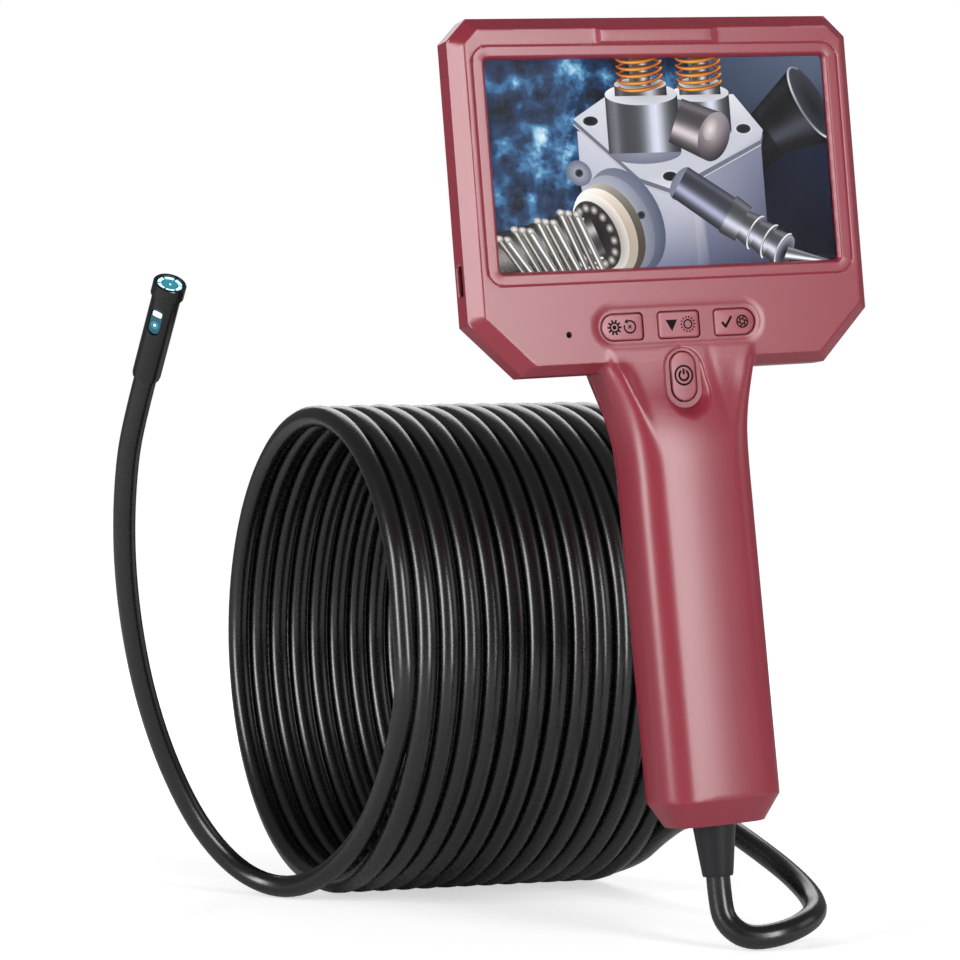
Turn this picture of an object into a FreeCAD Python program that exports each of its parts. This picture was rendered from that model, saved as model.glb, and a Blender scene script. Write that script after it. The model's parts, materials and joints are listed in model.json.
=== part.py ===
"""Handheld inspection camera: a handset with a screen, a coiled camera cable and a probe.

Millimetres. The handset is drawn upright in its own axes: X to the right, Y from the screen
towards the back, Z up, with the origin at the middle of the grip. The hand that holds it
leans it back and to one side, so every handset piece shares one tilted placement. The cable
and the probe are drawn in the row's axes, where Z is vertical.
"""
import FreeCAD, Part
import Sketcher
import math
import os
import re

from FreeCAD import Placement, Rotation, Vector

SIZES = {
    # lean of the handset in the hand, degrees
    "lean_back": 2.5, "lean_left": 3.8,
    # head: an eight-sided plate with a bevelled front edge
    "head_half": 65.3, "head_top": 173.8, "head_bottom": 68.4,
    "cut_top": 6.4, "cut_bottom": 15.8,
    "face": -5.2, "bevel_deep": 4.5, "bevel_wide": 3.8,
    "parting": 6.4, "back": 15.0, "back_bevel": 3.8, "back_bevel_deep": 8.4, "wall": 2.2,
    # screen window, glass, panel and the frame behind it
    "screen_mid": 130.0, "view_wide": 110.7, "view_tall": 62.3, "view_slope": 1.2,
    "glass_front": -3.9, "glass_wide": 118.0, "glass_tall": 70.0, "glass_thick": 1.1,
    "glass_corner": 3.0, "panel_wide": 115.0, "panel_tall": 67.0, "panel_thick": 2.6,
    "frame_wide": 116.0, "frame_tall": 68.0, "frame_thick": 0.8, "frame_edge": 9.0,
    "standoff": 2.2, "standoff_x": 50.0, "standoff_z": 28.0,
    # boards
    "board_front": 4.6, "board_thick": 1.6, "board_wide": 116.0, "board_tall": 68.0,
    "chip_high": 1.8, "key_board_front": 3.2, "key_board_thick": 1.2,
    # keys: three in a row and the power key below
    "key_row": 81.4, "key_pitch": 18.4, "key_wide": 13.4, "key_tall": 7.9, "key_gap": 0.3,
    "key_corner": 2.0, "key_round": 3.9, "key_front": -4.9, "key_back": -2.5,
    "power_height": 65.9, "power_wide": 8.2, "power_tall": 14.8, "power_front": -5.7,
    "lip": 0.9, "lip_thick": 0.8, "stem": 1.5, "stem_end": -0.4,
    "plunger": 1.2, "plunger_gap": 0.05, "plunger_end": 1.6,
    "switch_wide": 6.0, "switch_front": 0.8, "switch_hole": 2.0,
    "recess_half": 27.8, "recess_tall": 13.0, "recess_deep": 0.8, "recess_slope": 1.2,
    "well_wide": 12.6, "well_top": 75.0, "well_bottom": 55.6, "well_floor": -5.3,
    "well_backing": -3.0,
    # grip
    "grip_half": 19.5, "grip_deep": 28.0, "grip_corner": 9.0, "grip_tilt": 0.029,
    "grip_mid": -0.15, "grip_top": 42.0, "grip_low": -59.2, "grip_end": -66.8,
    "grip_inset": 4.5, "palm_round": 1.4, "flat_side": 0.5,
    # battery and its cradle
    "cell": 9.2, "cell_long": 65.2, "cell_low": -27.0, "cradle_half": 12.0,
    "cradle_front": -10.6, "cradle_back": -1.0, "cradle_gap": 0.1, "cradle_end": 2.0,
    # screws and posts
    "post": 2.3, "post_bore": 1.05, "screw": 1.0, "screw_head": 1.9, "screw_head_high": 1.4,
    "screw_reach": 7.0,
    # sockets and microphone
    "usb_height": 97.5, "usb_mid": 3.0, "usb_wide": 9.0, "usb_thick": 3.2, "usb_long": 7.4,
    "usb_wall": 0.35, "slot_gap": 0.35,
    "card_height": 118.0, "card_wide": 11.0, "card_long": 15.0, "card_thick": 0.7,
    "card_proud": 0.6, "card_mid": 3.55,
    "mic_across": -35.7, "mic_height": 79.9, "mic_hole": 0.8, "mic_round": 2.0,
    # cable, strain relief and clamp
    "cable": 3.6, "cable_mid": -2.0, "relief_tip": -82.5, "relief_root": 6.5,
    "relief_thin": 4.5, "relief_neck": 5.2, "relief_flange": 7.4, "flange_thick": 2.0,
    "jacket_end": -45.0, "clamp_low": -59.0, "clamp_high": -51.0, "clamp_half": 9.0,
    "clamp_screw": 6.5,
    # coil of spare cable: a round barrel on its side, whose turns all lean the same way
    "coil_left": -71.2, "coil_long": 110.0, "coil_radius": 82.8, "coil_back": 159.5,
    "coil_height": -21.2, "coil_lean": 3.8,
    # probe
    "probe_long": 35.5, "barrel": 4.5, "barrel_bore": 3.9, "ferrule_long": 1.0,
    "ferrule": 4.3, "ferrule_bore": 1.5, "collar": 5.2, "collar_low": 30.5,
    "collar_bevel": 0.6, "collar_lip": 4.2, "barrel_end": 34.2,
    "front_glass": 0.6, "led_board_low": 32.9, "led_board_thick": 0.4, "lens": 1.8,
    "lens_low": 28.4, "led_circle": 3.05, "side_low": 18.0, "side_high": 27.6,
    "side_wide": 4.2, "side_glass": 0.5, "side_lens": 1.2, "side_lens_at": 21.6,
    "probe_board_half": 3.2, "probe_board_thick": 0.8,
}

HANDLE_SHAPE = (  # height, half width, front, back, corner radius, from the head down
    (76.0, 27.0, -5.0, 14.8, 6.0),
    (68.4, 24.8, -5.6, 14.9, 6.5),
    (65.4, 23.8, -6.4, 15.0, 7.0),
    (58.0, 21.8, -9.0, 15.1, 8.0),
    (51.0, 20.0, -11.9, 15.2, 9.0),
)

LOOP_ROUTE = (  # from the strain relief down to the floor, round and back to the coil
    (5.9, -6, -89), (6.8, -7.5, -96), (12, -12.5, -100.6), (24, -14.5, -98.9),
    (36.5, -8, -95.5), (45.5, 9, -93.5), (47.3, 27, -88), (43, 45, -80.5), (39, 64, -74),
    (38, 85, -74), (37.5, 105, -82), (37.2, 124, -92),
)

LEAD_ROUTE = (  # from the coil's first turn down to the floor and up to the probe
    (-62, 82, -12), (-61, 81.5, -33), (-61.5, 94, -56), (-63.5, 112, -78),
    (-69.5, 132.5, -94.2), (-78.5, 151, -101.4), (-90, 163.5, -97.3), (-102.5, 169.5, -83),
    (-114.5, 168, -61), (-125, 161, -35.5), (-133, 150.5, -8.5), (-138, 139, 17.5),
    (-139.9, 127, 42), (-139.9, 115.5, 56.5), (-139.2, 106, 68.3),
)

SIDE_WINDOW_FACES = Vector(-0.62, -0.58, -0.45)

doc = FreeCAD.newDocument("InspectionCamera")
sheet = doc.addObject("Spreadsheet::Sheet", "Sizes")
for row, (word, value) in enumerate(SIZES.items(), start=1):
    sheet.set(f"A{row}", word)
    sheet.set(f"B{row}", str(value))
    sheet.setAlias(f"B{row}", word)
doc.recompute()

nodes = []


def size(word):
    """A driving dimension as a number, for the shapes made in code."""
    return float(sheet.get(word))


def linked(text):
    """An expression with each sheet alias spelt in full."""
    return re.sub(r"[a-z_]+", lambda hit: "Sizes." + hit[0] if hit[0] in SIZES else hit[0],
                  str(text))


def bind(item, **links):
    for name, text in links.items():
        item.setExpression(name, linked(text))
    return item


def place(item, x, y, z):
    for axis, text in zip("xyz", (x, y, z)):
        item.setExpression("Placement.Base." + axis, linked(text))
    return item


HANDSET = Placement(Vector(), Rotation(Vector(1, 0, 0), -size("lean_back"))
                    * Rotation(Vector(0, 1, 0), -size("lean_left")))


# ---- small building blocks ---------------------------------------------------------------

def box(name, wide, deep, tall, x, y, z):
    """A box centred on x and z, with its front face at y."""
    item = doc.addObject("Part::Box", name)
    bind(item, Length=wide, Width=deep, Height=tall)
    return place(item, f"({x}) - ({wide}) / 2", y, f"({z}) - ({tall}) / 2")


def rod(name, radius, length, x, y, z, along="Y"):
    """A cylinder from the point (x, y, z) along one axis."""
    item = doc.addObject("Part::Cylinder", name)
    bind(item, Radius=radius, Height=length)
    turns = {"X": Rotation(Vector(0, 1, 0), 90), "Y": Rotation(Vector(1, 0, 0), -90),
             "Z": Rotation()}
    item.Placement = Placement(Vector(), turns[along])
    return place(item, x, y, z)


def fuse(name, *pieces):
    item = doc.addObject("Part::MultiFuse", name)
    item.Shapes = list(pieces)
    return item


def cut(name, base, *tools):
    item = doc.addObject("Part::Cut", name)
    item.Base = base
    item.Tool = tools[0] if len(tools) == 1 else fuse(name + "_tools", *tools)
    return item


def outline(body, plane, corners):
    """A closed sketch of straight edges, each corner bound to the sheet."""
    sketch = body.newObject("Sketcher::SketchObject", body.Name + "_outline")
    origin = next(f for f in body.Origin.OriginFeatures if f.Role == plane)
    sketch.AttachmentSupport = [(origin, "")]
    sketch.MapMode = "FlatFace"
    for index in range(len(corners)):
        sketch.addGeometry(Part.LineSegment(Vector(index, 0, 0), Vector(index + 1, 1, 0)))
    for index, (across, up) in enumerate(corners):
        before = (index - 1) % len(corners)
        sketch.addConstraint(Sketcher.Constraint("Coincident", before, 2, index, 1))
        for kind, text in (("DistanceX", across), ("DistanceY", up)):
            number = sketch.addConstraint(Sketcher.Constraint(kind, -1, 1, index, 1, 1.0))
            sketch.setExpression(f"Constraints[{number}]", linked(text))
    return sketch


def turned(name, profile):
    """A body of revolution about Z, from (radius, height) corners."""
    body = doc.addObject("PartDesign::Body", name)
    sketch = outline(body, "XZ_Plane", profile)
    doc.recompute()
    revolution = body.newObject("PartDesign::Revolution", name + "_turn")
    revolution.Profile = sketch
    revolution.ReferenceAxis = (sketch, ["V_Axis"])
    revolution.Angle = 360
    body.Tip = revolution
    return body


def plate(name, wide, tall, thick, corner, x, y, z, left=None, right=None):
    """A flat plate facing -Y, centred on x and z, front face at y.

    Its corners are rounded to one radius, or to another on its left or right side.
    """
    body = doc.addObject("PartDesign::Body", name)
    sketch = outline(body, "XZ_Plane", ((0, 0), (wide, 0), (wide, tall), (0, tall)))
    pad = body.newObject("PartDesign::Pad", name + "_pad")
    pad.Profile = sketch
    pad.Reversed = True
    bind(pad, Length=thick)
    doc.recompute()
    middle = pad.Shape.BoundBox.Center.x
    rounded = pad
    for side, radius in ((-1, left or corner), (1, right or corner)):
        edges = [f"Edge{number}" for number, edge in enumerate(rounded.Shape.Edges, start=1)
                 if abs(edge.tangentAt(edge.FirstParameter).y) > 0.9
                 and side * (edge.CenterOfMass.x - middle) > 0]
        fillet = body.newObject("PartDesign::Fillet", f"{name}_side{side + 1}")
        fillet.Base = (rounded, edges)
        bind(fillet, Radius=radius)
        doc.recompute()
        rounded = fillet
    body.Tip = fillet
    return place(body, f"({x}) - ({wide}) / 2", y, f"({z}) - ({tall}) / 2")


def own_shape(name, shape):
    item = doc.addObject("Part::Feature", name)
    item.Shape = shape
    return item


def node(label, *pieces, at=HANDSET):
    """One named sub-part, standing in its place in the row."""
    item = doc.addObject("Part::Compound", "Node_" + label)
    item.Label = label
    item.Links = list(pieces)
    item.Placement = at
    nodes.append(item)


# ---- the housing ---------------------------------------------------------------------------

def octagon(inset, y):
    """The head's outline at depth y, moved in from its edge."""
    half = size("head_half") - inset
    top = size("head_top") - inset
    low = size("head_bottom") + inset
    upper = size("cut_top") - inset * (2 - math.sqrt(2))
    lower = size("cut_bottom") - inset * (2 - math.sqrt(2))
    right = [(half - lower, low), (half, low + lower), (half, top - upper), (half - upper, top)]
    left = [(-x, z) for x, z in reversed(right)]
    return [Vector(x, y, z) for x, z in right + left]


def faceted(rings):
    """A solid between successive rings of matching corners, capped at both ends."""
    faces = [Part.Face(Part.makePolygon(ring + ring[:1])) for ring in (rings[0], rings[-1])]
    for first, second in zip(rings, rings[1:]):
        for index in range(len(first)):
            after = (index + 1) % len(first)
            corners = [first[index], first[after], second[after], second[index], first[index]]
            faces.append(Part.Face(Part.makePolygon(corners)))
    return Part.Solid(Part.Shell(faces))


def round_section(z, half, front, back, corner):
    """A rounded rectangle at height z, rounder at the back, where the palm lies."""
    middle = (front + back) / 2
    deep = (back - front) / 2
    palm = min(corner * size("palm_round"), 2 * deep - corner - size("flat_side"))
    edges = []
    for turn, (before, after) in enumerate(((corner, palm), (palm, palm), (palm, corner),
                                            (corner, corner))):
        across, along = (half, deep) if turn % 2 == 0 else (deep, half)
        diagonal = after * (1 - math.sqrt(0.5))
        start = Vector(across, -along + before, 0)
        end = Vector(across, along - after, 0)
        bend = Vector(across - diagonal, along - diagonal, 0)
        last = Vector(across - after, along, 0)
        spin = Rotation(Vector(0, 0, 1), 90 * turn)
        points = [spin.multVec(p) + Vector(0, middle, z) for p in (start, end, bend, last)]
        edges.append(Part.LineSegment(points[0], points[1]).toShape())
        edges.append(Part.Arc(points[1], points[2], points[3]).toShape())
    return Part.Wire(edges)


def grip_limits(z):
    middle = size("grip_mid") + size("grip_tilt") * z
    return middle - size("grip_deep") / 2, middle + size("grip_deep") / 2


def handle_solid(inset):
    """The grip and its flared neck; inset draws the hollow inside the wall."""
    backing = size("well_backing")
    sections = []
    for z, half, front, back, corner in HANDLE_SHAPE:
        inner_front = backing if inset else front
        sections.append((z, half - inset, inner_front, back - inset, corner - inset / 2))
    half = size("grip_half")
    for z in (size("grip_top"), size("grip_low")):
        front, back = grip_limits(z)
        sections.append((z, half - inset, front + inset, back - inset,
                         size("grip_corner") - inset / 2))
    slope = size("grip_inset")
    front, back = grip_limits(size("grip_end"))
    sections.append((size("grip_end") + inset, half - slope - inset, front + slope + inset,
                     back - slope - inset, size("grip_corner") - slope / 2 - inset / 2))
    spans = [Part.makeLoft([round_section(*a), round_section(*b)], True, True)
             for a, b in zip(sections, sections[1:])]
    return spans[0].fuse(spans[1:]).removeSplitter()


def window_frustum(inset_front, inset_back, y_front, y_back):
    """The sloped opening in front of the screen."""
    rings = []
    for grow, y in ((inset_front, y_front), (inset_back, y_back)):
        half = size("view_wide") / 2 + grow
        rise = size("view_tall") / 2 + grow
        middle = size("screen_mid")
        rings.append([Vector(sx * half, y, middle + sz * rise)
                      for sx, sz in ((-1, -1), (1, -1), (1, 1), (-1, 1))])
    return faceted(rings)


def slab(low, high):
    return Part.makeBox(high[0] - low[0], high[1] - low[1], high[2] - low[2], Vector(*low))


def peg(radius, start, end):
    start, end = Vector(*start), Vector(*end)
    return Part.makeCylinder(radius, (end - start).Length, start, end - start)


def pill(wide, tall, x, z, front, back):
    """An upright or lying capsule running along Y."""
    radius = min(wide, tall) / 2
    reach = (wide - tall) / 2
    dx, dz = (reach, 0) if reach > 0 else (0, -reach)
    ends = [peg(radius, (x + s * dx, front, z + s * dz), (x + s * dx, back, z + s * dz))
            for s in (-1, 1)]
    middle = slab((x - max(dx, radius), front, z - max(dz, radius)),
                  (x + max(dx, radius), back, z + max(dz, radius)))
    if dx:
        middle = slab((x - dx, front, z - radius), (x + dx, back, z + radius))
    if dz:
        middle = slab((x - radius, front, z - dz), (x + radius, back, z + dz))
    return middle.fuse(ends).removeSplitter()


SCREW_PLACES = ((-46, 167.8), (46, 167.8), (-50, 86), (50, 86), (-17, 61), (17, 61),
                (-12, -52), (12, -52))


def row_recess():
    """The shallow recess round the row of keys, with sloped sides."""
    half, tall = size("recess_half"), size("recess_tall")
    face, deep, slope = size("face"), size("recess_deep"), size("recess_slope")
    z = size("key_row")
    floor = pill(2 * (half - slope), tall - 2 * slope, 0, z, face - 1, face + deep)
    rim = pill(2 * half, tall, 0, z, face - 1, face + deep / 3)
    return floor.fuse(rim)


def shell_skin():
    """The whole handset as one solid, without its hollow."""
    face, back = size("face"), size("back")
    head = faceted([octagon(size("bevel_wide"), face), octagon(0, face + size("bevel_deep")),
                    octagon(0, back - size("back_bevel_deep")),
                    octagon(size("back_bevel"), back)])
    return head.fuse(handle_solid(0))


def shell_with_posts():
    """The hollow handset with the posts that its screws bite into."""
    wall, back = size("wall"), size("back")
    bevel_y = size("face") + size("bevel_deep")
    glass_back = size("glass_front") + size("glass_thick")
    inner_edge = wall + size("bevel_wide") * 0.6
    head_room = faceted([octagon(inner_edge, glass_back), octagon(wall, bevel_y + wall),
                         octagon(wall, back - size("back_bevel_deep")),
                         octagon(wall + size("back_bevel") * 0.8, back - wall)])
    room = head_room.fuse(handle_solid(wall))
    shell = shell_skin().cut(room)

    posts = []
    for x, z in SCREW_PLACES:
        front_y = size("well_backing") if z > 0 else grip_limits(z)[0] + wall
        posts.append(peg(size("post"), (x, front_y - 0.5, z), (x, size("parting"), z)))
    for side in (-1, 1):
        x = side * size("clamp_screw")
        z = (size("clamp_low") + size("clamp_high")) / 2
        posts.append(peg(size("post"), (x, grip_limits(z)[0] + wall - 0.5, z),
                         (x, size("cable_mid"), z)))
    return shell.fuse(posts)


def key_places():
    row = size("key_row")
    pitch = size("key_pitch")
    return {"menu": (-pitch, row), "down": (0.0, row), "ok": (pitch, row),
            "power": (0.0, size("power_height"))}


def front_openings():
    """Everything cut out of the front half."""
    gap = size("key_gap")
    face = size("face")
    far = face - 20
    tools = [window_frustum(size("view_slope"), 0, face - 0.01, size("glass_front")),
             window_frustum(0, 0, size("glass_front") - 0.02, size("glass_front") + 2)]
    glass_wide = size("glass_wide") + 0.4
    glass_tall = size("glass_tall") + 0.4
    middle = size("screen_mid")
    tools.append(slab((-glass_wide / 2, size("glass_front"), middle - glass_tall / 2),
                      (glass_wide / 2, size("parting"), middle + glass_tall / 2)))
    tools.append(row_recess())
    key_wide, key_tall = size("key_wide") + 2 * gap, size("key_tall") + 2 * gap
    for name, (x, z) in key_places().items():
        if name == "power":
            continue
        left = x if name == "menu" else x - key_wide / 2
        right = x if name == "ok" else x + key_wide / 2
        tools.append(slab((left, far, z - key_tall / 2), (right, 0, z + key_tall / 2)))
        if name != "down":
            tools.append(pill(key_wide, key_tall, x, z, far, 0))
    power_wide, power_tall = size("power_wide") + 2 * gap, size("power_tall") + 2 * gap
    tools.append(pill(power_wide, power_tall, 0, size("power_height"), far, 0))
    well_top, well_bottom = size("well_top"), size("well_bottom")
    tools.append(pill(size("well_wide"), well_top - well_bottom, 0,
                      (well_top + well_bottom) / 2, far, size("well_floor")))
    mic = (size("mic_across"), size("mic_height"))
    tools.append(peg(size("mic_hole"), (mic[0], far, mic[1]), (mic[0], 0, mic[1])))
    slot = size("slot_gap")
    half = size("usb_wide") / 2 + slot
    rise = size("usb_thick") / 2 + slot
    edge = size("head_half")
    tools.append(slab((-edge - 1, size("usb_mid") - rise, size("usb_height") - half),
                      (-edge + 6, size("usb_mid") + rise, size("usb_height") + half)))
    half = size("card_wide") / 2 + slot
    rise = size("card_thick") / 2 + slot
    tools.append(slab((edge - 6, size("card_mid") - rise, size("card_height") - half),
                      (edge + 1, size("card_mid") + rise, size("card_height") + half)))
    low = size("grip_end")
    tools.append(peg(size("relief_neck") + 0.05, (0, size("cable_mid"), low - 1),
                     (0, size("cable_mid"), low + 4)))
    bore = size("post_bore")
    for x, z in SCREW_PLACES:
        tools.append(peg(bore, (x, size("parting") - size("screw_reach") - 1, z),
                         (x, size("parting") + 1, z)))
    for side in (-1, 1):
        x = side * size("clamp_screw")
        z = (size("clamp_low") + size("clamp_high")) / 2
        tools.append(peg(bore, (x, size("cable_mid") - 7, z), (x, size("cable_mid") + 1, z)))
    return tools


def build_housing():
    parting = size("parting")
    shell = shell_with_posts()
    front_half = slab((-90, -40, -90), (90, parting, 190))
    back_half = slab((-90, parting, -90), (90, 40, 190))
    front = shell.common(front_half).cut(front_openings())
    back = shell.common(back_half)
    columns = []
    holes = []
    for x, z in SCREW_PLACES:
        outside = size("back") if z > 0 else grip_limits(z)[1]
        seat = outside - 3.4
        columns.append(peg(size("post") + 1.0, (x, parting, z), (x, outside - 0.6, z)))
        holes.append(peg(size("screw") + 0.1, (x, parting - 1, z), (x, outside + 2, z)))
        holes.append(peg(size("screw_head") + 0.25, (x, seat, z), (x, outside + 2, z)))
    back = back.fuse(columns).common(shell_skin()).cut(holes)
    node("front_housing", own_shape("FrontHousing", front))
    node("rear_housing", own_shape("RearHousing", back))


def build_housing_screws():
    """Eight screws from the back and their heads, one node."""
    pieces = []
    for number, (x, z) in enumerate(SCREW_PLACES):
        outside = size("back") if z > 0 else grip_limits(z)[1]
        seat = outside - 3.4
        head = rod(f"ScrewHead{number}", "screw_head", "screw_head_high", x, seat, z)
        reach = seat - size("parting") + size("screw_reach")
        shank = rod(f"ScrewShank{number}", "screw", reach, x, seat - reach, z)
        pieces.append(fuse(f"Screw{number}", head, shank))
    node("housing_screws", *pieces)


# ---- the display -----------------------------------------------------------------------------

def build_display():
    node("screen_glass", plate("Glass", "glass_wide", "glass_tall", "glass_thick",
                               "glass_corner", 0, "glass_front", "screen_mid"))
    panel_y = "glass_front + glass_thick"
    node("display_panel", plate("Panel", "panel_wide", "panel_tall", "panel_thick", 1.0,
                                0, panel_y, "screen_mid"))
    frame_y = "glass_front + glass_thick + panel_thick"
    sheet_metal = plate("FramePlate", "frame_wide", "frame_tall", "frame_thick", 2.0,
                        0, frame_y, "screen_mid")
    window = box("FrameWindow", "frame_wide - 2 * frame_edge", "frame_thick + 2",
                 "frame_tall - 2 * frame_edge", 0, f"{frame_y} - 1", "screen_mid")
    legs = []
    leg_y = f"{frame_y} + frame_thick"
    for number, (side, rise) in enumerate(((-1, -1), (1, -1), (1, 1), (-1, 1))):
        leg = rod(f"Leg{number}", "standoff", f"board_front - ({leg_y})",
                  f"{side} * standoff_x", leg_y, f"screen_mid + {rise} * standoff_z")
        hole = rod(f"LegHole{number}", "post_bore", f"board_front - ({leg_y}) + 1",
                   f"{side} * standoff_x", leg_y, f"screen_mid + {rise} * standoff_z")
        legs.append(cut(f"LegTube{number}", leg, hole))
    node("display_frame", fuse("Frame", cut("FrameSheet", sheet_metal, window), *legs))


# ---- boards and what is soldered to them ---------------------------------------------------------

def build_boards():
    blank = plate("MainBlank", "board_wide", "board_tall", "board_thick", 2.0,
                  0, "board_front", "screen_mid")
    holes = []
    screws = []
    for number, (side, rise) in enumerate(((-1, -1), (1, -1), (1, 1), (-1, 1))):
        x, z = f"{side} * standoff_x", f"screen_mid + {rise} * standoff_z"
        holes.append(rod(f"BoardHole{number}", "post_bore", "board_thick + 2", x,
                         "board_front - 1", z))
        head = rod(f"BoardScrewHead{number}", "screw_head", 1.2, x,
                   "board_front + board_thick", z)
        shank = rod(f"BoardScrewShank{number}", "screw", "board_thick + 3", x,
                    "board_front - 3", z)
        screws.append(fuse(f"BoardScrew{number}", head, shank))
    node("main_board", cut("MainBoard", blank, *holes))
    node("board_screws", *screws)

    chip_y = "board_front + board_thick"
    chips = []
    for number, (wide, tall, x, z) in enumerate(((14, 14, -8, 132), (11, 13, 12, 133),
                                                 (9, 9, -28, 126), (7, 5, 27, 120),
                                                 (20, 10, 4, 110), (6, 6, -40, 140))):
        chips.append(plate(f"Chip{number}", wide, tall, "chip_high", 0.4, x, chip_y, z))
    node("board_chips", *chips)

    row = box("KeyBoardRow", 50, "key_board_thick", 14, 0, "key_board_front", "key_row + 1")
    tail = box("KeyBoardTail", 16, "key_board_thick", 19, 0, "key_board_front",
               "power_height + 1.5")
    node("key_board", fuse("KeyBoard", row, tail))


def build_sockets():
    mid, height = "usb_mid - usb_thick / 2", "usb_height"
    inside = "-head_half + 1.4 + usb_long / 2"
    can = box("UsbCan", "usb_long", "usb_thick", "usb_wide", inside, mid, height)
    hollow = box("UsbHollow", "usb_long", "usb_thick - 2 * usb_wall", "usb_wide - 2 * usb_wall",
                 f"{inside} - 1.2", f"{mid} + usb_wall", height)
    tongue = box("UsbTongue", "usb_long - 2", 0.7, "usb_wide - 2.6", f"{inside} + 0.4",
                 "usb_mid - 0.35", height)
    node("usb_c_socket", fuse("UsbSocket", cut("UsbShell", can, hollow), tongue))

    cage_x = "head_half - 3.4 - card_long / 2"
    cage = box("CardCage", "card_long - 1", 1.9, "card_wide + 1.6", cage_x,
               "card_mid - 0.85", "card_height")
    slot = box("CardSlot", "card_long + 4", "card_thick + 0.2", "card_wide + 0.2",
               f"{cage_x} + 3.5", "card_mid - card_thick / 2 - 0.1", "card_height")
    node("card_socket", cut("CardSocket", cage, slot))
    node("memory_card", box("MemoryCard", "card_long", "card_thick", "card_wide",
                            "head_half + card_proud - card_long / 2",
                            "card_mid - card_thick / 2", "card_height"))

    can = rod("MicCan", "mic_round", 1.5, "mic_across", -2.6, "mic_height")
    node("microphone", can)


# ---- keys ------------------------------------------------------------------------------------------

def build_keys():
    switches = []
    for name, (x, z) in key_places().items():
        power = name == "power"
        wide, tall, front = (("power_wide", "power_tall", "power_front") if power
                             else ("key_wide", "key_tall", "key_front"))
        corner = "power_wide / 2 - 0.01" if power else "key_corner"
        thick = f"key_back + 0.2 - ({front})"
        rounder = {"menu": {"left": "key_round"}, "ok": {"right": "key_round"}}.get(name, {})
        cap = plate(f"Cap_{name}", wide, tall, thick, corner, x, front, z, **rounder)
        lip = plate(f"Lip_{name}", f"{wide} + 2 * lip", f"{tall} + 2 * lip", "lip_thick",
                    f"{corner} + lip / 2", x, "key_back", z, **rounder)
        stem = rod(f"Stem_{name}", "stem", "stem_end - key_back - lip_thick + 0.1", x,
                   "key_back + lip_thick - 0.1", z)
        pieces = [cap, lip, stem]
        node(f"{name}_button", fuse(f"Button_{name}", *pieces))
        node(f"{name}_plunger", rod(f"Plunger_{name}", "plunger", "plunger_end - stem_end",
                                    x, "stem_end", z))
        block = box(f"Switch_{name}", "switch_wide", "key_board_front - switch_front",
                    "switch_wide", x, "switch_front", z)
        well = rod(f"SwitchWell_{name}", "plunger + plunger_gap", "switch_hole", x,
                   "switch_front", z)
        switches.append(cut(f"SwitchBody_{name}", block, well))
    node("tact_switches", *switches)


# ---- what the grip holds -----------------------------------------------------------------------------

def tube(points, radius, bends):
    """A round tube along straight runs joined by tangent arcs."""
    points = [Vector(*p) for p in points]
    edges = []
    here = points[0]
    for index, (before, corner, after) in enumerate(zip(points, points[1:], points[2:])):
        back = (before - corner)
        ahead = (after - corner)
        half_turn = (math.pi - back.getAngle(ahead)) / 2
        reach = 0.45 * min(back.Length, ahead.Length)
        bends.append(reach / math.tan(half_turn))
        start = corner + back.normalize() * reach
        end = corner + ahead.normalize() * reach
        inward = (start + end) * 0.5 - corner
        to_centre = math.hypot(reach, bends[-1])
        middle = corner + inward.normalize() * (to_centre - bends[-1])
        edges.append(Part.LineSegment(here, start).toShape())
        edges.append(Part.Arc(start, middle, end).toShape())
        here = end
    edges.append(Part.LineSegment(here, points[-1]).toShape())
    path = Part.Wire(edges)
    direction = points[1] - points[0]
    ring = Part.Wire(Part.makeCircle(radius, points[0], direction))
    solid = path.makePipeShell([ring], True, True, 2)
    expected = math.pi * radius ** 2 * path.Length
    return solid, path.Length, abs(solid.Volume / expected - 1)


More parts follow.
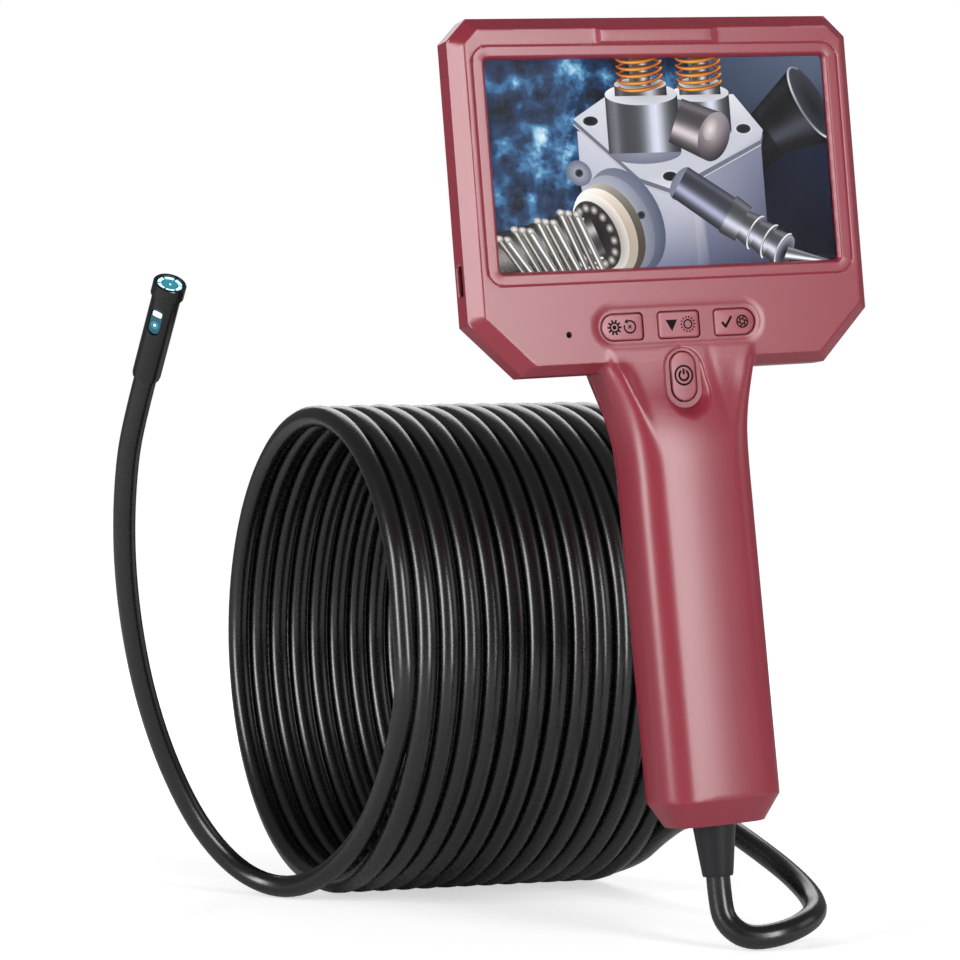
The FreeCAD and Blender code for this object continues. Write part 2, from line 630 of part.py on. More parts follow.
def build_grip_inside():
    low, long_ = "cell_low", "cell_long"
    node("battery_cell", rod("Cell", "cell", long_, 0, 0, low, "Z"))
    block = box("CradleBlock", "2 * cradle_half", "cradle_back - cradle_front",
                "cell_long + 2 * cradle_gap + 2 * cradle_end", 0, "cradle_front",
                f"{low} + {long_} / 2")
    hollow = rod("CradleHollow", "cell + cradle_gap", "cell_long + 2 * cradle_gap", 0, 0,
                 f"{low} - cradle_gap", "Z")
    node("battery_cradle", cut("Cradle", block, hollow))

    top = size("cell_low") + size("cell_long")
    plug_low = size("screen_mid") - 32
    wires = []
    for number, shift in enumerate((0.0, 2.4)):
        route = ((3 + shift, 5, top), (3 + shift, 5, top + 9), (10 + shift, 9, top + 20),
                 (10 + shift, 9, plug_low))
        wires.append(own_shape(f"Wire{number}", tube(route, 0.7, [])[0]))
    node("battery_wires", *wires)
    node("battery_plug", box("BatteryPlug", 7, 4.6, 5, 11.2, "board_front + board_thick",
                             plug_low + 2.5))

    mid = size("cable_mid")
    start = size("jacket_end")
    route = ((0, mid, start), (0, mid, start + 7), (-14, 3.5, start + 14), (-14, 3.5, 46),
             (-11.4, 9, 60), (-11.4, 9, plug_low))
    node("signal_wire", own_shape("SignalWire", tube(route, 1.1, [])[0]))
    node("camera_plug", box("CameraPlug", 7, 4.6, 5, -12.5, "board_front + board_thick",
                            plug_low + 2.5))
    node("cable_tail", rod("CableTail", "cable", "jacket_end - relief_tip", 0, "cable_mid",
                           "relief_tip", "Z"))

    block = box("ClampBlock", "2 * clamp_half", 6.2, "clamp_high - clamp_low", 0,
                "cable_mid", "(clamp_low + clamp_high) / 2")
    saddle = rod("ClampSaddle", "cable", "clamp_high - clamp_low + 2", 0, "cable_mid",
                 "clamp_low - 1", "Z")
    holes, screws = [], []
    for number, side in enumerate((-1, 1)):
        x, z = f"{side} * clamp_screw", "(clamp_low + clamp_high) / 2"
        holes.append(rod(f"ClampHole{number}", "screw + 0.1", 9, x, "cable_mid - 1", z))
        head = rod(f"ClampHead{number}", "screw_head", "screw_head_high", x,
                   "cable_mid + 6.2", z)
        shank = rod(f"ClampShank{number}", "screw", 12, x, "cable_mid - 5.8", z)
        screws.append(fuse(f"ClampScrew{number}", head, shank))
    node("cable_clamp", cut("Clamp", block, saddle, *holes))
    node("clamp_screws", *screws)


def build_strain_relief():
    """A tapered rubber sleeve with a neck in the housing and a flange behind it."""
    tip = size("relief_tip")
    long_ = "grip_end - relief_tip"
    inner = f"{long_} + wall"
    profile = (("cable", 0), ("relief_thin", 0), ("relief_thin + 0.2", 0.8),
               ("relief_root", long_), ("relief_neck", long_), ("relief_neck", inner),
               ("relief_flange", inner), ("relief_flange", f"{inner} + flange_thick"),
               ("cable", f"{inner} + flange_thick"))
    sleeve = turned("Sleeve", profile)
    sleeve.Placement = Placement(Vector(0, size("cable_mid"), tip), Rotation())
    node("strain_relief", sleeve)


# ---- the cable outside -----------------------------------------------------------------------------------

def build_cord():
    exit_point = HANDSET.multVec(Vector(0, size("cable_mid"), size("relief_tip")))
    for label, route in (("cord_loop", [tuple(exit_point), *LOOP_ROUTE]),
                         ("cord_lead", LEAD_ROUTE)):
        bends = []
        solid, long_, error = tube(route, size("cable"), bends)
        node(label, own_shape(label.title().replace("_", ""), solid), at=Placement())
        print(label, "length", round(long_, 1), "bend radii", [round(b, 1) for b in bends],
              "volume error", round(error, 4))

    centre = Vector(size("coil_left"), size("coil_back"), size("coil_height"))
    facing = Rotation(Vector(0, 0, 1), size("coil_lean")).multVec(Vector(1, 0, 0))
    along = Vector(size("coil_long"), 0, 0)
    solids = []
    for radius in (size("coil_radius"), size("coil_radius") - 2 * size("cable")):
        rim = Part.Wire(Part.makeCircle(radius, centre, facing))
        solids.append(Part.Face(rim).extrude(along))
    outer, inner = solids
    node("cord_coil", own_shape("Coil", outer.cut(inner)), at=Placement())


# ---- the probe -------------------------------------------------------------------------------------------

def probe_placement():
    """Z runs out of the tip, X out of the side window."""
    end, before = Vector(*LEAD_ROUTE[-1]), Vector(*LEAD_ROUTE[-2])
    axis = (end - before).normalize()
    side = SIDE_WINDOW_FACES - axis * SIDE_WINDOW_FACES.dot(axis)
    return Placement(end, Rotation(side, Vector(), axis, "ZXY"))


def build_probe():
    at = probe_placement()

    def probe_node(label, *pieces):
        node(label, *pieces, at=at)

    probe_node("probe_ferrule", turned("Ferrule", (("ferrule_bore", 0), ("ferrule", 0),
                                                   ("ferrule", "ferrule_long"),
                                                   ("ferrule_bore", "ferrule_long"))))
    barrel = turned("Barrel", (("barrel_bore", "ferrule_long"), ("barrel", "ferrule_long"),
                               ("barrel", "collar_low"), ("barrel - 0.2", "collar_low"),
                               ("barrel - 0.2", "barrel_end"), ("barrel_bore", "barrel_end")))
    slot_mid = "(side_low + side_high) / 2"
    slot = fuse("SideSlot",
                box("SlotMiddle", 4, "side_wide", "side_high - side_low - side_wide", 4.6,
                    "-side_wide / 2", slot_mid),
                rod("SlotLow", "side_wide / 2", 4, 2.6, 0, "side_low + side_wide / 2", "X"),
                rod("SlotHigh", "side_wide / 2", 4, 2.6, 0, "side_high - side_wide / 2", "X"))
    probe_node("probe_barrel", cut("BarrelTube", barrel, slot))
    probe_node("probe_collar", turned("Collar", (
        ("barrel - 0.2", "collar_low"), ("barrel", "collar_low"),
        ("collar", "collar_low + collar_bevel"), ("collar", "probe_long - 0.2"),
        ("collar - 0.2", "probe_long"), ("collar_lip", "probe_long"),
        ("collar_lip", "barrel_end + front_glass"), ("barrel - 0.2", "barrel_end + front_glass"))))
    probe_node("front_window", rod("FrontGlass", "barrel - 0.2", "front_glass", 0, 0,
                                   "barrel_end", "Z"))
    disc = rod("LedDisc", "barrel_bore", "led_board_thick", 0, 0, "led_board_low", "Z")
    hole = rod("LedDiscHole", "lens", "led_board_thick + 2", 0, 0, "led_board_low - 1", "Z")
    probe_node("led_board", cut("LedBoard", disc, hole))
    leds = []
    for number in range(6):
        turn = math.radians(60 * number + 30)
        reach = size("led_circle")
        led = box(f"FrontLed{number}", 0.9, 0.9, 0.5, reach * math.cos(turn),
                  reach * math.sin(turn) - 0.45,
                  "led_board_low + led_board_thick + 0.25")
        leds.append(led)
    probe_node("front_leds", *leds)
    probe_node("front_camera", rod("FrontCamera", "lens", "barrel_end - lens_low", 0, 0,
                                   "lens_low", "Z"))
    board_long = "lens_low - 4"
    probe_node("probe_board", box("ProbeBoard", "probe_board_thick", "2 * probe_board_half",
                                  board_long, 0, "-probe_board_half", f"4 + ({board_long}) / 2"))
    pane_out = 3.2
    probe_node("side_window", fuse(
        "SidePane",
        box("PaneMiddle", "side_glass", "side_wide - 0.4", "side_high - side_low - side_wide",
            f"{pane_out} - side_glass / 2", "-side_wide / 2 + 0.2", slot_mid),
        rod("PaneLow", "side_wide / 2 - 0.2", "side_glass", f"{pane_out} - side_glass", 0,
            "side_low + side_wide / 2", "X"),
        rod("PaneHigh", "side_wide / 2 - 0.2", "side_glass", f"{pane_out} - side_glass", 0,
            "side_high - side_wide / 2", "X")))
    probe_node("side_camera", rod("SideCamera", "side_lens",
                                  f"{pane_out} - side_glass - probe_board_thick / 2",
                                  "probe_board_thick / 2", 0, "side_lens_at", "X"))
    probe_node("side_led", box("SideLed", 1.0, 1.8, 1.0, "probe_board_thick / 2 + 1.6", -0.9,
                               "side_high - 2.4"))


build_housing()
build_housing_screws()
build_display()
build_boards()
build_sockets()
build_keys()
build_grip_inside()
build_strain_relief()
build_cord()
build_probe()
doc.recompute()

for item in doc.Objects:
    if "Invalid" in item.State or "Error" in item.State:
        raise RuntimeError(f"{item.Name} ({item.Label}) failed: {item.State}")
for item in nodes:
    if item.Shape.isNull() or not item.Shape.isValid():
        raise RuntimeError(f"{item.Label} has no valid shape")
    print(f"{item.Label:16s} solids {len(item.Shape.Solids)} volume {item.Shape.Volume:10.1f}")

os.makedirs("parts", exist_ok=True)
for item in nodes:
    item.Shape.exportStep(f"parts/{item.Label}.step")
print(len(nodes), "nodes")
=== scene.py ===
"""Looks of the handheld inspection camera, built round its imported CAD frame.

Blender's units are metres. The handset and the probe are drawn upright in millimetres in
their own axes, and placed by the record's mounts. In the handset's axes X points right, Y
from the screen to the back and Z up, with the origin in the middle of the grip.
"""

import json
import math
from math import cos, exp, hypot, pi, radians, sin, sqrt

import bpy
import bmesh
from mathutils import Matrix, Vector, geometry, noise


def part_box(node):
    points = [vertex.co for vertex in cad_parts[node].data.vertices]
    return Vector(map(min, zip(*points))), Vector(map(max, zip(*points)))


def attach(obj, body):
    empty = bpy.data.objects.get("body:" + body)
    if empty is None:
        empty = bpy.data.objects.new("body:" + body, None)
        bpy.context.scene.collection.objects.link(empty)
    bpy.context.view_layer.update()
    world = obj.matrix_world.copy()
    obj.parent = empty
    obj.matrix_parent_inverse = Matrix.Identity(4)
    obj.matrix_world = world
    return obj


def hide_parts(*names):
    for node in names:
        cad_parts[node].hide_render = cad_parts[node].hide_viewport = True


MM = 0.001

# ---- the camera
CAMERA_AT = (-0.38701, -0.81718, 0.02927)
CAMERA_TURN = radians(-21.316)
CAMERA_LENS = 113.6
HORIZON_DROP = 0.0208

# ---- light
WHITE = (1.0, 1.0, 1.0, 1.0)
ROOM = 0.14
FLOOR_NEAR = 0.6
FLOOR_FAR = 0.95
FLOOR_SPAN = (0.25, 0.9)
FLOOR_REACH = 30.0
AIM = (0.0, 0.03, 0.03)

# ---- surfaces
MOTTLE = 45.0
NOISE_SPAN = (0.3, 0.7)
SCREEN_GLOW = 0.95

# ---- the handset, millimetres in its own axes
HEAD_HALF = 65.3
HEAD_TOP = 173.8
HEAD_BOTTOM = 68.4
CUT_TOP = 6.4
CUT_BOTTOM = 15.8
FACE = -5.2
BEVEL_DEEP = 4.5
BEVEL_WIDE = 3.8
BEVEL_LOW = 2.8
PARTING = 6.4
BACK = 15.0
BACK_BEVEL = 3.8
BACK_BEVEL_DEEP = 8.4
SEAM = 0.18
REAR_RIM = 0.2
USB_PORT = (-65.3, (1.05, 4.95), (92.65, 102.35))
CARD_PORT = (65.3, (2.85, 4.25), (112.15, 123.85))

SCREEN_MID = 130.0
GLASS_HALF = (59.0, 35.0)
GLASS_BEVEL = 0.25
GLASS_FRONT = -3.9
GLASS_BACK = -3.1
PICTURE_BACK = -2.81
PICTURE_STEP = 0.0025
VIEW_HALF = (55.35, 31.15)
VIEW_FLARE = 0.9
VIEW_DEEP = 1.3
GROOVE_HALF = (59.6, 35.1)
GROOVE_CORNER = 5.0
GROOVE_DEEP = 0.25
GROOVE_WIDE = 0.2
BROW_HALF = 19.0
BROW_HIGH = 0.55
BROW_RAMP = 2.4

KEY_ROW = 81.4
KEY_PITCH = 18.4
KEY_HOLE = (7.0, 4.25)
KEY_FRONT = -4.9
KEY_BACK = -2.5
POWER_FRONT = -5.7
RECESS_HALF = 27.8
RECESS_TALL = 6.5
RECESS_MID = 81.7
RECESS_DEEP = 0.38
RECESS_WALL = 1.8
POWER_MID = 65.9
POWER_HOLE = (4.4, 7.7)
WELL_HALF = 6.3
WELL_ENDS = (56.0, 75.0)
WELL_FLOOR = -5.25
MIC = (-35.7, 79.9)
KEY_GAP = 0.3
MIC_HOLE = 0.95
INK_THICK = 0.12
INK_PROUD = 0.03

GRIP_SECTIONS = (  # height, half width, front, back, corner radius
    (-66.8, 15.0, -11.6, 7.4, 5.5),
    (-59.2, 19.5, -15.9, 12.1, 8.0),
    (42.0, 19.5, -12.9, 15.1, 8.0),
    (51.0, 20.0, -11.9, 15.2, 7.5),
    (58.0, 21.8, -9.0, 15.1, 6.0),
    (65.4, 23.8, -6.4, 15.0, 4.5),
    (68.4, 24.8, -5.6, 14.9, 4.0),
    (76.0, 27.0, -4.9, 14.7, 4.0),
)
GRIP_CROWN = 1.9
RAIL_LEFT = 1.15
RAIL_RIGHT = 0.3
CREASE_AT = 10.5
CREASE_DEEP = 0.1
NECK_TOP = 76.0
PALM_ROUND = 1.55
SCREW_PLACES = ((-46, 167.8), (46, 167.8), (-50, 86), (50, 86), (-17, 61), (17, 61),
                (-12, -52), (12, -52))
SCREW_WELL = 2.15
SCREW_DEEP = 3.4
SCREW_HEAD = 1.4
CROSS_HALF = (1.15, 0.25)
SHELL_WALL = 1.5
GRIP_STEP = 1.2

# ---- the probe, millimetres in its own axes
PROBE_NODES = ("probe_ferrule", "probe_barrel", "probe_collar", "probe_board", "front_window",
               "front_leds", "front_camera", "led_board", "side_window", "side_camera",
               "side_led")
GLASS_MID = 34.5
TIP_LEVEL = 34.82
SIDE_MID = 22.8
SIDE_LEVEL = 3.7
PATCH_THICK = 0.1
PATCH_STEP = 0.12

# ---- the cable, metres
CABLE = 0.0072
CABLE_EXIT = (0, -2.0, -82.5)  # in the handset's millimetres
LOOP_ROUTE = (
    (0.0059, -0.006, -0.089), (0.0068, -0.0075, -0.096), (0.012, -0.0125, -0.1006),
    (0.024, -0.0145, -0.0989), (0.0365, -0.008, -0.0955), (0.0455, 0.009, -0.0935),
    (0.0473, 0.027, -0.088), (0.043, 0.045, -0.0805), (0.039, 0.064, -0.074),
    (0.038, 0.085, -0.074), (0.0375, 0.105, -0.082), (0.0372, 0.124, -0.092),
)
LEAD_ROUTE = (
    (-0.062, 0.082, -0.012), (-0.061, 0.0815, -0.033), (-0.0615, 0.094, -0.056),
    (-0.0635, 0.112, -0.078), (-0.0695, 0.1325, -0.0942), (-0.0785, 0.151, -0.1014),
    (-0.09, 0.1635, -0.0973), (-0.1025, 0.1695, -0.083), (-0.1145, 0.168, -0.061),
    (-0.125, 0.161, -0.0355), (-0.133, 0.1505, -0.0085), (-0.138, 0.139, 0.0175),
    (-0.1399, 0.127, 0.042), (-0.1399, 0.1155, 0.0565), (-0.1392, 0.106, 0.0683),
)
COIL_TURNS = 13
COIL_STEPS = 18
COIL_START = 90
COIL_END = 335
COIL_WANDER = 0.0002
COIL_LEAN = 0.0664
COIL_FLARE = 0.0013

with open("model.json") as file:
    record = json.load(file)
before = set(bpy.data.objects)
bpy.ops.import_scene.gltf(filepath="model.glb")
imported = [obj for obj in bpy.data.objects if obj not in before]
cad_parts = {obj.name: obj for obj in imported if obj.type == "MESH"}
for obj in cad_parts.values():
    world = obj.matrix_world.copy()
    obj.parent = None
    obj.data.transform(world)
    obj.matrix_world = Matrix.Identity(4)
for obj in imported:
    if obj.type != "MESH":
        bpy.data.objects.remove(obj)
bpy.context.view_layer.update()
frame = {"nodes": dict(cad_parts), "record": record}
record = frame["record"]
nodes = frame["nodes"]
mounts = {mount["name"]: mount for mount in record["mounts"]}


def axes_matrix(rows, origin=(0, 0, 0)):
    """The matrix from a sub-assembly's own millimetres to the row's metres."""
    turn = Matrix(rows).transposed().to_4x4()
    return Matrix.Translation(origin) @ turn @ Matrix.Scale(MM, 4)


up = Vector(mounts["grip"]["axis"]).normalized()
backward = -Vector(mounts["screen"]["axis"]).normalized()
HANDSET = axes_matrix((backward.cross(up), backward, up))


def smooth_step(low, high, value):
    part = min(max((value - low) / (high - low), 0.0), 1.0)
    return part * part * (3 - 2 * part)


def soft_max(a, b, blend):
    """The larger height, with the corner where the two cross rounded off."""
    part = max(blend - abs(a - b), 0.0) / blend
    return max(a, b) + part * part * blend / 4


def soft_min(a, b, blend):
    return -soft_max(-a, -b, blend)


# ---- materials

def rgb(red, green, blue):
    """A colour given as the eye sees it, in the renderer's linear values."""
    return tuple((c / 12.92 if c < 0.04045 else ((c + 0.055) / 1.055) ** 2.4)
                 for c in (red / 255, green / 255, blue / 255)) + (1.0,)


def principled(name, **values):
    """A material with its shader's sockets set; an underscore stands for a space."""
    made = bpy.data.materials.new(name)
    made.use_nodes = True
    tree, link = made.node_tree.nodes, made.node_tree.links.new
    shader = tree["Principled BSDF"]
    for socket, value in values.items():
        shader.inputs[socket.replace("_", " ")].default_value = value
    return made, shader, tree, link


def add_node(tree, kind, **values):
    made = tree.new("ShaderNode" + kind)
    for socket, value in values.items():
        made.inputs[socket.replace("_", " ")].default_value = value
    return made


def noise_node(tree, link, scale, detail=4.0):
    """A noise pattern fixed to the piece, its scale in bumps per metre."""
    place = add_node(tree, "TexCoord")
    pattern = add_node(tree, "TexNoise", Scale=scale, Detail=detail)
    link(place.outputs["Object"], pattern.inputs["Vector"])
    return pattern


def map_range(tree, link, source, before, after):
    spread = add_node(tree, "MapRange", From_Min=before[0], From_Max=before[1],
                      To_Min=after[0], To_Max=after[1])
    link(source, spread.inputs["Value"])
    return spread.outputs["Result"]


def moulded(name, colour, rough, grain=2600.0, relief=0.00003, shade=0.06, metallic=0.0, level=0.5):
    """A surface with faint mottling, a fine grain and an uneven gloss."""
    made, shader, tree, link = principled(name, Metallic=metallic, Specular_IOR_Level=level)
    mottle = noise_node(tree, link, MOTTLE)
    tint = tree.new("ShaderNodeMix")
    tint.data_type = "RGBA"
    tint.inputs["A"].default_value = tuple(c * (1 - shade) for c in colour[:3]) + (1.0,)
    tint.inputs["B"].default_value = tuple(min(c * (1 + shade), 1) for c in colour[:3]) + (1.0,)
    link(mottle.outputs["Fac"], tint.inputs["Factor"])
    link(tint.outputs["Result"], shader.inputs["Base Color"])

    fine = noise_node(tree, link, grain, 3.0)
    gloss = map_range(tree, link, fine.outputs["Fac"], NOISE_SPAN, (rough * 0.92, rough * 1.08))
    link(gloss, shader.inputs["Roughness"])
    if relief:
        bump = add_node(tree, "Bump", Distance=relief, Strength=0.5)
        link(fine.outputs["Fac"], bump.inputs["Height"])
        link(bump.outputs["Normal"], shader.inputs["Normal"])
    return made


def glowing(name, colour, strength, base=(0.8, 0.9, 1.0, 1.0)):
    return principled(name, Base_Color=base, Roughness=0.25, Emission_Color=colour,
                      Emission_Strength=strength)[0]


RED = moulded("rose_shell", rgb(149, 47, 63), 0.30, grain=3200.0, relief=0.00002, level=0.75)
RED_KEY = moulded("rose_key", rgb(154, 54, 70), 0.32, level=0.8)
ICON = moulded("maroon_ink", rgb(26, 6, 10), 0.6, level=0.1)
CABLE_BLACK = moulded("cable_jacket", rgb(15, 15, 16), 0.27, grain=700.0, relief=0.0,
                      shade=0.15, level=0.9)
RUBBER = moulded("sleeve_rubber", rgb(30, 29, 32), 0.36, grain=1800.0, shade=0.12)
PROBE_BLACK = moulded("probe_anodised", rgb(14, 14, 16), 0.22, shade=0.15, level=0.8)
STEEL = moulded("plain_steel", rgb(196, 197, 200), 0.28, metallic=1.0, shade=0.08)
BOARD = moulded("solder_mask", rgb(22, 84, 48), 0.4, shade=0.2)
RESIN = moulded("chip_resin", rgb(30, 30, 32), 0.55, shade=0.15)
CELL_WRAP = moulded("cell_wrap", rgb(38, 96, 150), 0.35)
GREY = moulded("grey_moulding", rgb(92, 92, 96), 0.5)
WIRE = moulded("wire_jacket", rgb(150, 30, 32), 0.4)
GLASS = principled("cover_glass", Base_Color=WHITE, Roughness=0.03, Transmission_Weight=1.0,
                   IOR=1.06)[0]
# Glow for the LEDs, also used for the painted glints on the probe's lenses.
LED_AND_PAINTED_GLINT = glowing("led_white_and_painted_glint", (0.35, 0.85, 1.0, 1.0), 1.1)
WARM_LED = glowing("led_warm", (1.0, 0.95, 0.7, 1.0), 0.9)
# Painted glow: the teal lenses and window panes glow, though they are no lamps.
TEAL_PAINTED_GLOW = glowing("lens_teal_painted_glow", (0.03, 0.28, 0.38, 1.0), 0.8, (0.02, 0.08, 0.1, 1.0))
TEAL_DIM_PAINTED_GLOW = glowing("pane_teal_painted_glow", (0.02, 0.13, 0.19, 1.0), 0.7, (0.01, 0.03, 0.04, 1.0))
PANEL = moulded("panel_edge", rgb(24, 26, 34), 0.3)


# ---- making pieces

def placed(name, data):
    made = bpy.data.objects.new(name, data)
    bpy.context.scene.collection.objects.link(made)
    return made


def add_solid(corners, faces, rings, hollow=False):
    """Add rings of equally many corners, joined into a solid.

    Its two ends are closed; a hollow solid joins its last ring to its first instead.
    """
    count, start = len(rings[0]), len(corners)
    corners += [corner for ring in rings for corner in ring]
    levels = [start + count * i for i in range(len(rings))]
    if not hollow:
        faces += [tuple(range(level, level + count)) for level in (levels[0], levels[-1])]
    for low, high in zip(levels, levels[1:] + ([start] if hollow else [])):
        faces += [(low + i, low + (i + 1) % count, high + (i + 1) % count, high + i)
                  for i in range(count)]


def piece_from(name, corners, faces, placing, body="handset", skin=RED, angle=32.0, outward=True):
    """A mesh piece from corners in its own millimetres; outward turns its faces out."""
    mesh = bpy.data.meshes.new(name)
    mesh.from_pydata([placing @ Vector(c) for c in corners], [], faces)
    mesh.validate()
    if outward:
        work = bmesh.new()
        work.from_mesh(mesh)
        bmesh.ops.recalc_face_normals(work, faces=work.faces)
        work.to_mesh(mesh)
        work.free()
    mesh.shade_smooth()
    mesh.set_sharp_from_angle(angle=radians(angle))
    mesh.materials.append(skin)
    made = placed(name, mesh)
    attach(made, body)
    return made


# ---- the shell's surfaces

def edge_distances(edges, x, z):
    """How far inside a convex outline a point is, edge by edge."""
    return [reach - (nx * x + nz * z) for nx, nz, reach in edges]


def head_edges():
    root = sqrt(0.5)
    top_reach = (HEAD_HALF + HEAD_TOP - CUT_TOP) * root
    low_reach = (HEAD_HALF - HEAD_BOTTOM - CUT_BOTTOM) * root
    return ((1, 0, HEAD_HALF), (-1, 0, HEAD_HALF), (0, 1, HEAD_TOP), (0, -1, -HEAD_BOTTOM),
            (root, root, top_reach), (-root, root, top_reach),
            (root, -root, low_reach), (-root, -root, low_reach))


HEAD_EDGES = head_edges()
BEVELS = (BEVEL_WIDE,) * 3 + (BEVEL_LOW,) + (BEVEL_WIDE,) * 4


def box_distance(x, z, half, middle=(0, 0), corner=0.0):
    """The distance outside a rounded rectangle, negative inside it."""
    dx = abs(x - middle[0]) - half[0] + corner
    dz = abs(z - middle[1]) - half[1] + corner
    outside = hypot(max(dx, 0), max(dz, 0))
    return outside + min(max(dx, dz), 0) - corner


def grip_section(z):
    """Half width, front, back and corner radius of the grip at a height."""
    rows = GRIP_SECTIONS
    z = min(max(z, rows[0][0]), rows[-1][0])
    for low, high in zip(rows, rows[1:]):
        if z <= high[0]:
            part = (z - low[0]) / (high[0] - low[0])
            return [a + (b - a) * part for a, b in zip(low[1:], high[1:])]
    return list(rows[-1][1:])


def eased_grip(z):
    """The same, with the bends between the stretches eased above the grip's straight part."""
    if z < 30:
        return grip_section(z)
    reach = 8.0 * smooth_step(30, 42, z)
    rows = [grip_section(z + reach * step / 3) for step in range(-3, 4)]
    return [sum(column) / len(rows) for column in zip(*rows)]


def rounding(corner, beyond):
    """How far a rounded corner has drawn in, beyond where it starts."""
    return corner - sqrt(max(corner ** 2 - beyond ** 2, 0.0))


def grip_front(x, z):
    """The grip's front: crowned across, rounded at its sides, railed at the neck."""
    half, front, _, corner = eased_grip(z)
    across = min(abs(x), half)
    crown = GRIP_CROWN * smooth_step(72, 48, z) if z > 0 else GRIP_CROWN
    crown = crown * (across / half) ** 2
    round_off = rounding(corner, max(across - (half - corner), 0.0))
    rail = smooth_step(40, 64, z) * smooth_step(73, 66, z)
    rail *= RAIL_LEFT if x < 0 else RAIL_RIGHT
    hump = exp(-((half - across - 4.2) / 2.6) ** 2)
    away = 2.0 * max(abs(x) - half, 0.0)
    return front + crown + round_off + away - rail * hump


def head_front(x, z):
    """The head's front: face, bevels, brow and screen surround."""
    inside = edge_distances(HEAD_EDGES, x, z)
    part = min(distance / wide for distance, wide in zip(inside, BEVELS))
    bevel = FACE + BEVEL_DEEP * (1 - part)
    across = smooth_step(BROW_HALF + BROW_RAMP / 2, BROW_HALF - BROW_RAMP / 2, abs(x))
    ring = box_distance(x, z, GROOVE_HALF, (0, SCREEN_MID), GROOVE_CORNER)
    rise = smooth_step(0.1, 0.9, ring) if z > SCREEN_MID else 0.0
    depth = FACE - BROW_HIGH * across * rise
    depth = soft_max(depth, bevel, 0.15)
    depth += GROOVE_DEEP * exp(-(ring / GROOVE_WIDE) ** 2) * (1 - across * rise)
    view = box_distance(x, z, VIEW_HALF, (0, SCREEN_MID), 1.0)
    wall = FACE + VIEW_DEEP * (1 - view / VIEW_FLARE)
    return soft_max(depth, wall, 0.2)


def pill_distance(x, z, half, middle):
    return box_distance(x, z, half, middle, min(half) - 0.001)


def front_depth(x, z):
    """The front shell: head and grip run together, then the key recesses."""
    depth = grip_front(x, z)
    if z >= HEAD_BOTTOM - 0.01:
        head = head_front(x, z)
        joined = soft_min(head, depth, 0.8)
        depth = head + (joined - head) * smooth_step(NECK_TOP, NECK_TOP - 2.5, z)
    recess = pill_distance(x, z, (RECESS_HALF, RECESS_TALL), (0, RECESS_MID))
    floor = FACE + RECESS_DEEP * smooth_step(0, -RECESS_WALL, recess) - 3 * max(recess, 0)
    depth = soft_max(depth, floor, 0.25)
    crease = exp(-((x - CREASE_AT + 0.1 * (z - 60)) / 1.3) ** 2)
    depth += CREASE_DEEP * crease * smooth_step(50, 60, z) * smooth_step(76, 72, z)
    middle = (WELL_ENDS[0] + WELL_ENDS[1]) / 2
    well = pill_distance(x, z, (WELL_HALF, WELL_ENDS[1] - middle), (0, middle))
    well_floor = WELL_FLOOR - 2.0 * max(well + 0.6, 0)
    return soft_max(depth, well_floor, 0.9) if well < 5 else depth


def palm_inset(z, y):
    """How far the grip's rounded back has drawn in from its full width at a depth."""
    if z >= HEAD_BOTTOM:
        return 0.0
    _, _, back, corner = eased_grip(z)
    palm = corner * PALM_ROUND
    return rounding(palm, min(max(y - back + palm, 0.0), palm))


def rear_depth(x, z):
    half, _, back, corner = eased_grip(z)
    across = min(abs(x), half)
    corner *= PALM_ROUND
    depth = back - rounding(corner, max(across - (half - corner), 0.0))
    depth -= 2.0 * max(abs(x) - half, 0.0)
    if z >= HEAD_BOTTOM - 0.01:
        inside = min(edge_distances(HEAD_EDGES, x, z))
        slope = BACK_BEVEL_DEEP / BACK_BEVEL
        head = soft_min(BACK, BACK - BACK_BEVEL_DEEP + slope * max(inside, 0), 0.5)
        joined = soft_max(head, depth, 0.8)
        depth = head + (joined - head) * smooth_step(NECK_TOP, NECK_TOP - 2.5, z)
    return depth


# ---- outlines and rows of points

def polar(centre, radius, turn):
    return centre[0] + radius * cos(turn), centre[1] + radius * sin(turn)


def circle_loop(centre, radius, count):
    return [polar(centre, radius, 2 * pi * i / count) for i in range(count)]


def arc_band(centre, inner, outer, start, end, steps=8):
    """The outline of a curved stroke between two angles in degrees."""
    turns = [radians(start + (end - start) * i / steps) for i in range(steps + 1)]
    line = [polar(centre, outer, turn) for turn in turns]
    return line + [polar(centre, inner, turn) for turn in reversed(turns)]


def spaced(points, gap, closed=True):
    """The same line with points no further apart than gap."""
    line = []
    ends = points[1:] + (points[:1] if closed else [])
    for start, end in zip(points, ends):
        steps = max(1, math.ceil(math.dist(start, end) / gap))
        line += [(start[0] + (end[0] - start[0]) * i / steps,
                  start[1] + (end[1] - start[1]) * i / steps) for i in range(steps)]
    return line if closed else line + [points[-1]]


def head_corners(inset):
    half, top, low = HEAD_HALF - inset, HEAD_TOP - inset, HEAD_BOTTOM + inset
    upper = CUT_TOP - inset * (2 - sqrt(2))
    lower = CUT_BOTTOM - inset * (2 - sqrt(2))
    right = [(half - lower, low), (half, low + lower), (half, top - upper), (half - upper, top)]
    return right + [(-x, z) for x, z in reversed(right)]


def grip_heights():
    """The heights that the grip's outline and rows share, from high to low."""
    ends = [HEAD_BOTTOM, GRIP_SECTIONS[1][0], GRIP_SECTIONS[0][0]]
    heights = []
    for high, low in zip(ends, ends[1:]):
        count = math.ceil((high - low) / GRIP_STEP)
        heights += [high + (low - high) * i / count for i in range(count)]
    return heights + ends[-1:]


def grip_side(inset):
    """One side of the grip from high to low, moved in from the silhouette."""
    return [(eased_grip(z)[0] - inset, z) for z in grip_heights()]


